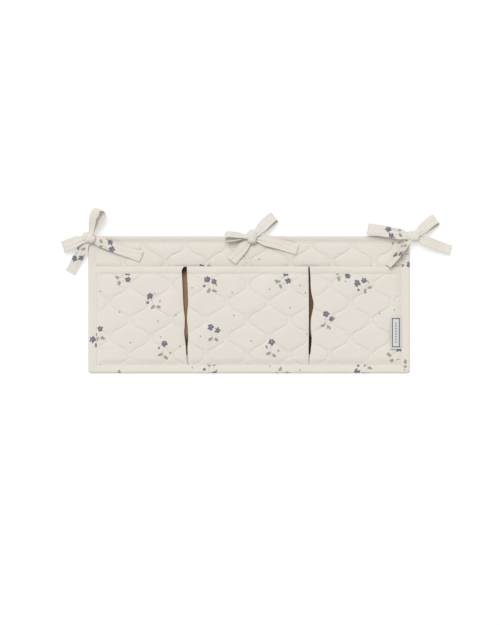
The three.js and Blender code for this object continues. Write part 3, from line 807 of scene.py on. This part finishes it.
def puff_up(piece, sizes, base, fade):
    """Fills a quilted sheet: its quilting lines are held and the cloth between them swells by simulation."""
    at = points_of(piece)
    crown = marked(piece, "crown")
    room = sizes.puff * crown * fade
    creased = sizes.crease * fade * creases(at[:, 0], at[:, 1], crown)
    at[:, 2] = base + 0.3 * room
    set_points(piece, at)
    held = piece.vertex_groups.new(name="sewn")
    still = (marked(piece, "sewn") > 0.5) | (fade < 0.02)
    held.add([int(k) for k in np.flatnonzero(still)], 1.0, "REPLACE")
    cloth = piece.modifiers.new("puff", "CLOTH")
    for key, value in {
        "quality": 5, "mass": 0.05, "tension_stiffness": 8, "compression_stiffness": 8, "shear_stiffness": 3,
        "bending_stiffness": 0.3, "use_pressure": True, "uniform_pressure_force": 14.0, "shrink_min": -0.008,
        "vertex_group_mass": held.name,
    }.items():
        setattr(cloth.settings, key, value)
    cloth.settings.effector_weights.gravity = 0.0
    cloth.collision_settings.use_collision = False
    scene = bpy.context.scene
    for step in range(SWELL_FRAMES):
        scene.frame_set(step + 1)
    swollen = np.zeros(len(at) * 3)
    piece.evaluated_get(bpy.context.evaluated_depsgraph_get()).data.vertices.foreach_get("co", swollen)
    move = swollen.reshape(-1, 3) - np.stack([at[:, 0], at[:, 1], base], 1)
    piece.modifiers.remove(cloth)
    piece.vertex_groups.remove(held)
    scene.frame_set(1)
    # The filling levels the puffs: they rise steeply from the stitches and flatten toward their middles
    full = sizes.puff * np.maximum(fade, 0.0) + 1e-5
    swell_up = 0.5 * np.clip(move[:, 2], 0.0, 2 * full) + 0.5 * room
    at[:, :2] += np.clip(move[:, :2], -0.0006, 0.0006)
    at[:, 2] = base + full * (1 - np.exp(-2.4 * swell_up / full)) + creased
    set_points(piece, at)


def close_pad(piece, lower):
    """Gives a quilted sheet its lining side, at lower(x, y, crown), and its rim."""
    upper, crown = points_of(piece), marked(piece, "crown")
    apply_modifier(piece, "thickness", "SOLIDIFY", thickness=0.002, offset=-1.0, material_offset=1,
                   material_offset_rim=2)
    x, y = upper[:, 0], upper[:, 1]
    set_points(piece, np.concatenate([upper, np.stack([x, y, lower(x, y, crown)], 1)]))
    for name in ("crown", "sewn"):
        piece.data.attributes.remove(piece.data.attributes[name])


def quilting_paths(layout, quilt, bottom, top, edges, height):
    """The quilting lines as paths on the cloth, cut at its edges."""
    step, inset, fewest = 0.0012, 0.003, 8
    ys = np.arange(bottom, top, step)
    low, high = edges(ys)
    first, last = layout.strips(quilt, low, high)
    paths = []
    for n in range(first, last + 1):
        x = layout.quilt_line(quilt, n, ys)
        inside = (x > low + inset) & (x < high - inset)
        for run in np.split(np.arange(len(ys)), np.flatnonzero(np.diff(inside.astype(int))) + 1):
            if inside[run[0]] and len(run) > fewest:
                paths.append(np.stack([x[run], ys[run], height(x[run], ys[run])], 1))
    return paths


# Pieces

class CADDY_OT_back(bpy.types.Operator):
    """Make the quilted back panel"""

    bl_idname = "caddy.back"
    bl_label = "Back Panel"

    def execute(self, context):
        layout = layout_of(context)
        s, inset = layout.sizes, 0.0027
        rows = math.ceil((s.panel_height - 2 * inset) / s.row_height)
        ys = np.linspace(layout.bottom + inset, layout.top - inset, rows + 1)
        low, high = (np.full_like(ys, x) for x in (layout.left + inset, layout.right - inset))
        piece = quilted_sheet("quilted_back", layout, layout.back_quilt, ys, low, high, BACK_CUT)
        x, y, _ = points_of(piece).T
        fade, ceiling = layout.back_room(x, y)
        puff_up(piece, s, layout.back_height(x, y), fade)
        at = points_of(piece)
        at[:, 2] = np.minimum(at[:, 2], np.maximum(ceiling, s.stitched_pad))
        set_points(piece, at)
        dress(piece, "printed_cotton", "plain_cotton", "plain_cotton")
        close_pad(piece, layout.back_lining)
        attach(piece, "panel")
        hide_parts("back_face", "back_wadding", "back_lining")
        paths = []
        for bottom, height in (
            (layout.mouth_y - 0.02, lambda x, y: layout.back_height(x, y) + THREAD_RISE),
            (layout.seam_y, lambda x, y: layout.back_lining(x, y, np.zeros_like(x)) - THREAD_RISE),
        ):
            paths += quilting_paths(
                layout, layout.back_quilt, bottom, layout.sewn_top,
                lambda ys: (np.full_like(ys, layout.sewn_left), np.full_like(ys, layout.sewn_right)), height,
            )
        thread = stitches("back_quilting_thread", paths)
        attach(thread, "panel")
        return {"FINISHED"}


# A strip of binding: its directions along and inward, half its length, how far out its edge lies, its width, and the
# widths of its neighbours
Strip = namedtuple("Strip", "name along inward half out width before after")


class CADDY_OT_binding(bpy.types.Operator):
    """Make the binding, a strip folded round each edge of the panel and mitred at the corners"""

    bl_idname = "caddy.binding"
    bl_label = "Edge Binding"

    def execute(self, context):
        layout = layout_of(context)
        wide, tall = layout.right, layout.top
        side, top = layout.sizes.binding_width, layout.sizes.top_binding_width
        for strip in (
            Strip("bottom", (1, 0), (0, 1), wide, tall, side, side, side),
            Strip("right", (0, 1), (-1, 0), tall, wide, side, side, top),
            Strip("top", (-1, 0), (0, -1), wide, tall, top, side, side),
            Strip("left", (0, -1), (1, 0), tall, wide, side, top, side),
        ):
            make_strip(layout, strip)
            make_strip_thread(layout, strip)
        return {"FINISHED"}


def make_strip(layout, strip):
    cloth, width = layout.sizes.binding_cloth, strip.width
    u, z, upper, fold = folded(width, cloth / 2, BINDING_HEIGHT - cloth / 2, cloth / 2, 14, 13)
    rows = math.ceil(2 * strip.half / STEP)
    piece, column, row = grid_piece(f"binding_strip_{strip.name}", len(u) - 1, rows)
    u, z, upper = u[column], z[column], upper[column]
    share = row / rows * 2 - 1
    mitre = u * np.where(share < 0, strip.before, strip.after) / width - 0.0003
    run = share * (strip.half - mitre)
    edge = u - width
    sewn = bump(edge, -BINDING_STITCH, 0.0009) * np.where(upper > 0, upper, -0.75)
    ripple = np.sin(run * 760 + 1.7 * np.sin(run * 211)) * 0.5 + np.sin(run * 437 + 0.8) * 0.5
    plump = upper * np.sin(np.pi * np.clip(u / width, 0, 1)) * 0.0004
    z = z + plump - 0.0004 * sewn + upper * 0.00013 * ripple * np.exp(edge / 0.006)
    x, y = on_strip(strip, run, u)
    z = z - upper * strip_dip(layout, strip, y, u)
    set_points(piece, np.stack([*round_corner(layout, x, y), z], 1))
    cut = BINDING_CUTS[strip.name]
    set_cloth_map(piece, run + cut[0], fold[column] + cut[1])
    finish_sheet(piece, cloth, "printed_cotton")
    2 * strip.half
    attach(piece, "panel")
    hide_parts(f"binding_{strip.name}")


def on_strip(strip, run, u):
    return [a * run + b * (u - strip.out) for a, b in zip(strip.along, strip.inward)]


def strip_dip(layout, strip, y, u):
    """How far the upper ply turns down toward its inner edge, onto what lies under it."""
    over_back, over_pocket = 0.0024, 0.0006
    share = {"top": 1.0, "bottom": 0.0}.get(strip.name, smooth((y - layout.mouth_y + 0.004) / 0.010))
    return lerp(over_pocket, over_back, share) * smooth(1 + (u - strip.width) / (FALL * strip.width))


def round_corner(layout, x, y):
    """Draws the square corners in to the panel's corner radius."""
    r = layout.sizes.corner_radius
    dx, dy = np.abs(x) - (layout.right - r), np.abs(y) - (layout.top - r)
    corner = (dx > 0) & (dy > 0)
    k = np.where(corner, np.maximum(dx, dy) / np.maximum(np.hypot(dx, dy), 1e-9), 1.0)
    x = np.where(corner, np.sign(x) * (layout.right - r + dx * k), x)
    y = np.where(corner, np.sign(y) * (layout.top - r + dy * k), y)
    return x, y


def make_strip_thread(layout, strip):
    inner = strip.width - BINDING_STITCH
    start, end = (strip.half - inner * beside / strip.width for beside in (strip.before, strip.after))
    run = np.linspace(-start, end, 400)
    x, y = on_strip(strip, run, inner)
    upper = np.full_like(run, BINDING_HEIGHT) - strip_dip(layout, strip, y, inner) - 0.0002
    paths = [np.stack([x, y, z], 1) for z in (upper, np.full_like(run, 0.00028))]
    thread = stitches(f"binding_thread_{strip.name}", paths)
    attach(thread, "panel")


class CADDY_OT_pockets(bpy.types.Operator):
    """Make the three quilted pocket fronts, their hems and their stitching"""

    bl_idname = "caddy.pockets"
    bl_label = "Pockets"

    def execute(self, context):
        layout = layout_of(context)
        for pocket in layout.pockets:
            for make in (make_front, make_hem, make_pocket_thread):
                piece = make(layout, pocket)
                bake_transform(piece)
        return {"FINISHED"}


def make_front(layout, pocket):
    s = layout.sizes
    bottom, top = layout.seam_y - s.tuck, layout.mouth_y - 0.0019
    ys = np.linspace(bottom, top, math.ceil((top - bottom) / s.row_height) + 1)
    piece = quilted_sheet(f"{pocket.name}_quilt", layout, pocket.quilt, ys, *layout.edges(pocket, ys))
    x, y, _ = points_of(piece).T
    low, high = layout.edges(pocket, y)
    inward = np.minimum.reduce([
        x - low, high - x, layout.from_seam(pocket, x, y) + 0.001, layout.hem_y + 0.002 - y,
    ])
    fade = np.clip(inward / s.puff_fade, 0.0, 1.0) ** 0.7
    puff_up(piece, s, layout.over(pocket, x, y, s.stitched_pad), fade)
    dress(piece, "printed_cotton", "plain_cotton", "tan_cotton")
    close_pad(piece, lambda x, y, crown: layout.over(pocket, x, y, lerp(*POCKET_LINING, crown)))
    refine(piece)
    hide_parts(*(f"{pocket.name}_{layer}" for layer in ("face", "wadding", "lining")))
    return piece


def make_hem(layout, pocket):
    s = layout.sizes
    outer = layout.hem_room - s.binding_cloth / 2
    d, z, front, fold = folded(s.hem_width, -outer, s.pad + outer, 0.0003, 9, 11)
    wide = float(np.ptp(np.concatenate(layout.edges(pocket, np.array([layout.mouth_y])))))
    columns = math.ceil(wide / STEP)
    piece, column, row = grid_piece(f"{pocket.name}_hem_band", columns, len(d) - 1)
    y = layout.mouth_y - d[row]
    left, right = layout.edges(pocket, y)
    x = lerp(left, right, column / columns)
    from_edge = s.hem_width - d[row]
    ripple = np.sin(x * 690 + 1.3 * np.sin(x * 173)) * 0.5 + np.sin(x * 391) * 0.5
    sunk = 0.0003 * bump(from_edge, HEM_STITCH, 0.0009) + 0.0007 * (1 - smooth(from_edge / 0.006))
    plump = 0.00014 * ripple + 0.00035 * np.sin(np.pi * from_edge / s.hem_width)
    height = z[row] - front[row] * sunk + front[row] * plump
    set_points(piece, np.stack([x, y, layout.over(pocket, x, y, height)], 1))
    set_cloth_map(piece, x + HEM_CUT[0], fold[row] + HEM_CUT[1])
    finish_sheet(piece, s.binding_cloth, "printed_cotton")
    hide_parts(f"{pocket.name}_hem")
    return piece


def make_pocket_thread(layout, pocket):
    s = layout.sizes
    paths = quilting_paths(
        layout, pocket.quilt, layout.seam_y + 0.001, layout.hem_y - 0.001, lambda ys: layout.edges(pocket, ys),
        lambda x, y: layout.over(pocket, x, y, s.stitched_pad) + THREAD_RISE,
    )
    left, right = (float(e[0]) for e in layout.edges(pocket, np.array([layout.hem_y + HEM_STITCH])))
    x = np.linspace(left + 0.001, right - 0.001, 300)
    y = np.full_like(x, layout.hem_y + HEM_STITCH)
    paths.append(np.stack([x, y, layout.over(pocket, x, y, s.pad + layout.hem_room - 0.0002)], 1))
    return stitches(f"{pocket.name}_thread", paths)


class CADDY_OT_pleats(bpy.types.Operator):
    """Make the tan pleats that are folded back under the pockets' free sides"""

    bl_idname = "caddy.pleats"
    bl_label = "Pleats"

    def execute(self, context):
        layout = layout_of(context)
        for pocket in layout.pockets:
            for pleat in pocket.pleats:
                make_pleat(layout, pocket, pleat)
        return {"FINISHED"}


def make_pleat(layout, pocket, pleat):
    """A lower ply on the back, a turn under the pocket, and an upper ply out to the pocket's edge."""
    s = layout.sizes
    low = s.pad + s.clearance + s.pleat_cloth / 2
    gap = 0.0006
    start_y, end_y = layout.seam_y + 0.018, layout.mouth_y - gap
    rows, columns = 60, 12
    piece, column, row = grid_piece(f"{pleat.name}_cloth", 3 * columns, rows)
    y = lerp(start_y, end_y, row / rows)
    rim = pleat.edge(layout.share(y)) + pleat.side * gap
    seam = pleat.slit - pleat.side * 0.0001
    lift = layout.lift(pocket, rim, y)
    high = np.maximum(lift - layout.hem_room - gap, low + 2 * gap)
    r = (high - low) / 2
    q = column / columns
    lower, turning, upper = (np.clip(q - k, 0, 1) for k in range(3))
    turn = np.pi * turning
    bend = seam + pleat.side * s.pleat_depth - pleat.side * r
    turn_x = bend + pleat.side * r * np.sin(turn)
    x = np.where(q <= 1, lerp(seam, bend, lower), np.where(q <= 2, turn_x, lerp(bend, rim, upper)))
    sag = 0.0007 * np.sin(np.pi * lower) * (1 + 0.5 * np.sin(y * 95))
    bulge = 0.0006 * np.sin(np.pi * upper) * np.sin(y * 61 + 1)
    z = low + r * (1 - np.cos(turn)) + np.where(q <= 1, sag, 0) - np.abs(np.where(q >= 2, bulge, 0))
    z = z + (lift + gap - high) * smooth(q - 2) ** 6
    set_points(piece, np.stack([x, y, z], 1))
    # The right slit's pleats are shifted along the map, where the tan cotton paints shade on them
    set_cloth_map(piece, q * s.pleat_depth + (RIGHT_SLIT_SHADE_SHIFT if pleat.slit > 0 else 0.0), y)
    if pleat.side < 0:
        edit(piece, bpy.ops.mesh.flip_normals)
    finish_sheet(piece, s.pleat_cloth, "tan_cotton")
    2 * s.pleat_depth
    end_y - start_y
    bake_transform(piece)
    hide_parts(pleat.name)


class CADDY_OT_label(bpy.types.Operator):
    """Make the folded woven label in the right side seam"""

    bl_idname = "caddy.label"
    bl_label = "Side Label"

    def execute(self, context):
        layout = layout_of(context)
        s, pocket = layout.sizes, layout.pockets[2]
        middle_y = layout.bottom + s.label_height
        seam_x = layout.sewn_right - 0.0002
        tip_x = layout.sewn_right - s.label_width
        ply = gap = 0.00045
        puffs, clear = 0.0023, 0.0006
        columns, rows = 40, 26
        piece, column, row = grid_piece("folded_label", columns, rows)
        q = column / columns * 2 - 1
        out = 1 - np.abs(q)
        x = lerp(seam_x, tip_x, out)
        y = middle_y + s.label_length * (row / rows - 0.5)
        # It lies on the highest puffs beside it
        bed_x = np.linspace(tip_x, seam_x, 24)
        bed_y = np.linspace(middle_y - s.label_length / 2, middle_y + s.label_length / 2, 9)
        bed = layout.over(pocket, *np.meshgrid(bed_x, bed_y), s.pad + puffs).max(0)
        curl = 0.0009 * smooth((out - 0.55) / 0.45) * (1 + 0.4 * np.sin(y * 90))
        wave = 0.00025 * np.sin(y * 130 + 0.6) * out
        round_tip = np.sqrt(np.clip(1 - np.clip((out - 0.94) / 0.06, 0, 1) ** 2, 0, 1))
        z = np.interp(x, bed_x, bed) + clear + curl + wave + gap * (1 + np.sign(-q) * round_tip)
        set_points(piece, np.stack([x, y, z], 1))
        set_cloth_map(piece, y - middle_y, np.where(q < 0, out, -out) * s.label_width)
        finish_sheet(piece, ply, "woven_label")
        2 * (seam_x - tip_x)
        seam_x - 0.007
        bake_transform(piece)
        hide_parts("side_label")
        return {"FINISHED"}


class CADDY_OT_bows(bpy.types.Operator):
    """Make the three tie bows: sewn strap ends, knots, loops and tails"""

    bl_idname = "caddy.bows"
    bl_label = "Tie Bows"

    def execute(self, context):
        s = context.scene.caddy_sizes
        for bow, tie in TIES.items():
            low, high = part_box(f"{bow}_knot")
            knot = np.array((low + high) / 2)
            make_knot(s, bow, tie, knot)
            make_anchor(s, bow, tie, knot)
            for ribbon in tie.ribbons:
                make_ribbon(s, f"{bow}_{ribbon.name}", ribbon, knot)
        return {"FINISHED"}


class Strap:
    """A tie's middle line with its direction across, its width and how deeply it is gathered."""

    def __init__(self, middle, across, width, folds, fold_way, seed=0.0):
        along = unit(np.gradient(middle, axis=0))
        across = across - along * (across * along).sum(1, keepdims=True)
        self.middle, self.across, self.width = middle, unit(across), width
        self.normal = np.cross(along, self.across)
        self.folds, self.fold_way, self.seed = folds, fold_way, seed
        self.run = run_along(middle)

    def at(self, row, share):
        """Points across the strap: the share runs from -0.5 to 0.5."""
        pleated = np.cos(2 * np.pi * 1.5 * share) * self.folds[row]
        run = self.run[row]
        seam = -0.0003 * bump(np.abs(share), STRAP_STITCH, 0.04)
        ripple = 0.00035 * np.sin(14 * share + 2.2 * np.sin(55 * run + self.seed) + self.seed)
        sway = 0.0004 * np.sin(90 * run + self.seed)
        return (
            self.middle[row] + self.across[row] * (self.width[row] * share + sway)[:, None]
            + self.fold_way * pleated[:, None] + self.normal[row] * (seam + ripple)[:, None]
        )


def make_knot(s, bow, tie, knot):
    """A knot of wrapped strap: a plump barrel with creases that wind round it."""
    columns, rows = 56, 40
    piece, column, row = grid_piece(f"{bow}_wrapped_knot", columns, rows)
    turn = column / columns * 2 * np.pi
    q = np.sin((row / rows - 0.5) * np.pi)
    girth = (1 - np.abs(q) ** 3.2) ** (1 / 2.2)
    wind = 0.5 - 0.5 * np.cos(2 * np.pi * 1.55 * q + turn + 0.5)
    crease = (1 - wind) ** 7 * 0.13 + (0.5 - 0.5 * np.cos(2 * np.pi * 3.3 * q + turn * 2)) ** 4 * 0.035
    girth = girth * (1 - crease * girth)
    dent = 1 + 0.04 * np.sin(turn * 3 + 1 + 2 * q)
    a = q * s.knot_length / 2
    b = np.cos(turn) * girth * dent * s.knot_width / 2
    c = np.sin(turn) * girth * dent * np.where(turn < np.pi, s.knot_height, KNOT_DEPTH)
    angle = math.radians(tie.turn)
    x = knot[0] + a * math.cos(angle) - b * math.sin(angle)
    y = knot[1] + a * math.sin(angle) + b * math.cos(angle)
    set_points(piece, np.stack([x, y, knot[2] + c], 1))
    set_cloth_map(piece, a + PLAIN_CUT[0], turn * 0.007 + PLAIN_CUT[1])
    edit(piece, bpy.ops.mesh.remove_doubles, threshold=1e-6)
    edit(piece, bpy.ops.mesh.normals_make_consistent, inside=False)
    refine(piece)
    dress(piece, "printed_cotton")
    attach(piece, "panel")
    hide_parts(f"{bow}_knot")


def make_anchor(s, bow, tie, knot):
    """The strap's end, from its seam in the top binding up into the knot."""
    t = np.linspace(0, 1, 16)
    seam = np.array([*tie.seam, BINDING_HEIGHT + 0.0009])
    end = np.array([knot[0], knot[1], BINDING_HEIGHT + 0.0026])
    way = unit(end[:2] - seam[:2])
    across = np.tile((-way[1], way[0], 0.0), (len(t), 1))
    width = lerp(ANCHOR_WIDTH, s.gathered_width + 0.002, smooth(t))
    strap = Strap(lerp(seam, end, t[:, None]), across, width, 0.0005 * smooth(t), np.array([0.0, 0.0, 1.0]))
    piece = strap_piece(s, f"{bow}_anchor_strap", strap, PLAIN_CUT)
    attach(piece, "panel")
    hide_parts(f"{bow}_anchor")


def ribbon_axes(ribbon):
    """Directions along a loop or tail, across its cloth and out of it."""
    angle, roll = math.radians(ribbon.angle), math.radians(ribbon.roll)
    along = np.array([math.cos(angle), math.sin(angle), 0.0])
    level = np.array([-math.sin(angle), math.cos(angle), 0.0])
    across = level * math.cos(roll) + np.cross(along, level) * math.sin(roll)
    return along, across, np.cross(along, across)


def width_at(s, r):
    start = s.knot_length / 2
    return lerp(s.gathered_width, s.strap_width, smooth((r - start) / (s.gather_length - start)))


def ribbon_strap(s, ribbon, knot):
    """A loop, out to its bend and back, or a tail: level at the knot, then down to what it lies on."""
    along, across, opening = ribbon_axes(ribbon)
    roll = math.radians(ribbon.roll)
    tilt = abs(math.sin(roll))
    rest = (BINDING_HEIGHT if ribbon.on_panel else 0.0) + s.clearance
    half, start = ribbon.opening / 2, 0.003
    if half:
        ply, parting = 0.0008, 0.009
        bend = ribbon.reach - half
        out = np.linspace(start, bend, 34)
        turn = np.linspace(np.pi / 2, -np.pi / 2, 17)[1:-1]
        r = np.concatenate([out, bend + half * np.cos(turn), out[::-1]])
        gap = lerp(ply, half, smooth((out - parting) / (bend - parting)))
        offset = np.concatenate([gap, half * np.sin(turn), -gap[::-1]])
        drop = smooth((r - s.gather_length) / (ribbon.reach - s.gather_length))
        end_z = rest + half * math.cos(roll) + s.strap_thickness / 2 + s.strap_width / 2 * tilt
        middle = knot + along * r[:, None] + opening * offset[:, None]
        middle[:, 2] = lerp(knot[2] + 0.0008, end_z, drop) + opening[2] * offset
        middle = middle + across * (0.0014 / half * offset)[:, None]
        folds = 0.0011 * (1 - smooth((r - 0.006) / 0.026))
    else:
        r = np.linspace(start, ribbon.reach, 56)
        level = max(s.gather_length, ribbon.bend)
        drop = smooth((r - level) / (ribbon.reach - s.strap_width / 2 - level))
        knot_low = BINDING_HEIGHT + 2 * s.clearance + 0.001
        over_edge = np.maximum(knot[2] - 0.003, knot_low + s.strap_thickness / 2 + width_at(s, r) / 2 * tilt)
        end_z = rest + s.strap_thickness / 2 + s.strap_width / 2 * tilt
        middle = knot + along * r[:, None]
        middle[:, 2] = lerp(over_edge, end_z, drop)
        folds = 0.0010 * (1 - smooth((r - 0.006) / 0.028))
    return Strap(middle, np.tile(across, (len(r), 1)), width_at(s, r), folds, opening, ribbon.angle)


def make_ribbon(s, name, ribbon, knot):
    is_loop = ribbon.opening > 0
    strap = ribbon_strap(s, ribbon, knot)
    piece = strap_piece(s, f"{name}_strap", strap, SPRIGGED_CUT if ribbon.sprigged else PLAIN_CUT)
    thread = strap_thread(s, f"{name}_thread", strap, is_loop)
    along = ribbon_axes(ribbon)[0]
    start_r = max(BEND_START, ribbon.bend - 0.005)
    start, end = knot + along * start_r, knot + along * (start_r + BEND_LENGTH)
    for part in (piece, thread):
        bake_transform(part)
    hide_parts(*([name, f"{name}_root"] if ribbon.bend else [name]))


def strap_piece(s, name, strap, cut):
    columns = 12
    piece, column, row = grid_piece(name, columns, len(strap.run) - 1)
    share = column / columns - 0.5
    set_points(piece, strap.at(row, share))
    set_cloth_map(piece, share * s.strap_width + cut[0], strap.run[row] + cut[1])
    finish_sheet(piece, s.strap_thickness, "printed_cotton")
    return piece


def strap_thread(s, name, strap, is_loop):
    """Stitching along both edges of a strap, and across a tail's end."""
    count = len(strap.run)
    rows = np.arange(6, count - (6 if is_loop else 1))
    lines = [(rows, np.full(len(rows), share)) for share in (-STRAP_STITCH, STRAP_STITCH)]
    if not is_loop:
        lines.append((np.full(12, count - 2), np.linspace(-0.41, 0.41, 12)))
    paths = [strap.at(row, share) + strap.normal[row] * s.strap_thickness / 2 for row, share in lines]
    return stitches(name, paths, [strap.normal[row] for row, _ in lines])


class CADDY_OT_stage(bpy.types.Operator):
    """Make the floor, the light and the camera"""

    bl_idname = "caddy.stage"
    bl_label = "Stage"

    def execute(self, context):
        scene = context.scene
        scene.view_settings.view_transform = "Standard"
        floor = new_piece("pale_floor", bpy.ops.mesh.primitive_plane_add, size=12.0, location=(0, 0, 0))
        floor.data.materials.append(finish_of("pale_floor"))
        make_light(scene)
        make_camera(scene)
        return {"FINISHED"}


def make_light(scene):
    world = bpy.data.worlds.new("studio")
    world.use_nodes = True
    sky = world.node_tree.nodes["Background"].inputs
    sky["Color"].default_value = (1.0, 1.0, 1.0, 1.0)
    sky["Strength"].default_value = 0.547
    scene.world = world
    lamp = bpy.data.lights.new("softbox", "SUN")
    lamp.angle = math.radians(32)
    lamp.energy = 1.68
    box = bpy.data.objects.new("softbox", lamp)
    scene.collection.objects.link(box)
    box.location = (-0.45, 1.2, 2.75)
    box.rotation_euler = (-box.location).to_track_quat("-Z", "Y").to_euler()


def make_camera(scene):
    """Straight down from far above, framed as a 500 by 625 picture."""
    lens, sensor, view_height = 100.0, 36.0, 1.168
    camera = bpy.data.cameras.new("overhead")
    camera.lens, camera.sensor_width = lens, sensor
    camera.clip_start, camera.clip_end = 0.1, 50.0
    eye = bpy.data.objects.new("overhead", camera)
    scene.collection.objects.link(eye)
    eye.location = (0.0019, -0.015, view_height * lens / sensor)
    scene.camera = eye


class CADDY_PT_pieces(bpy.types.Panel):
    bl_idname = "CADDY_PT_pieces"
    bl_label = "Bedside Caddy"
    bl_space_type = "VIEW_3D"
    bl_region_type = "UI"
    bl_category = "Caddy"

    def draw(self, context):
        for maker in MAKERS:
            self.layout.operator(maker.bl_idname)
        for group in (context.scene.caddy_sizes, context.scene.caddy_colours):
            box = self.layout.box()
            for name in group.__annotations__:
                box.prop(group, name)


MAKERS = (
    CADDY_OT_stage, CADDY_OT_back, CADDY_OT_binding, CADDY_OT_pockets, CADDY_OT_pleats, CADDY_OT_label, CADDY_OT_bows,
)
CLASSES = (CADDY_PG_sizes, CADDY_PG_colours, *MAKERS, CADDY_PT_pieces)


def register():
    for cls in CLASSES:
        bpy.utils.register_class(cls)
    bpy.types.Scene.caddy_sizes = PointerProperty(type=CADDY_PG_sizes)
    bpy.types.Scene.caddy_colours = PointerProperty(type=CADDY_PG_colours)


def unregister():
    del bpy.types.Scene.caddy_colours
    del bpy.types.Scene.caddy_sizes
    for cls in reversed(CLASSES):
        bpy.utils.unregister_class(cls)


def main():
    register()
    bpy.ops.caddy.stage()
    bpy.ops.caddy.back()
    bpy.ops.caddy.binding()
    bpy.ops.caddy.pockets()
    bpy.ops.caddy.pleats()
    bpy.ops.caddy.label()
    bpy.ops.caddy.bows()


if __name__ == "__main__":
    main()
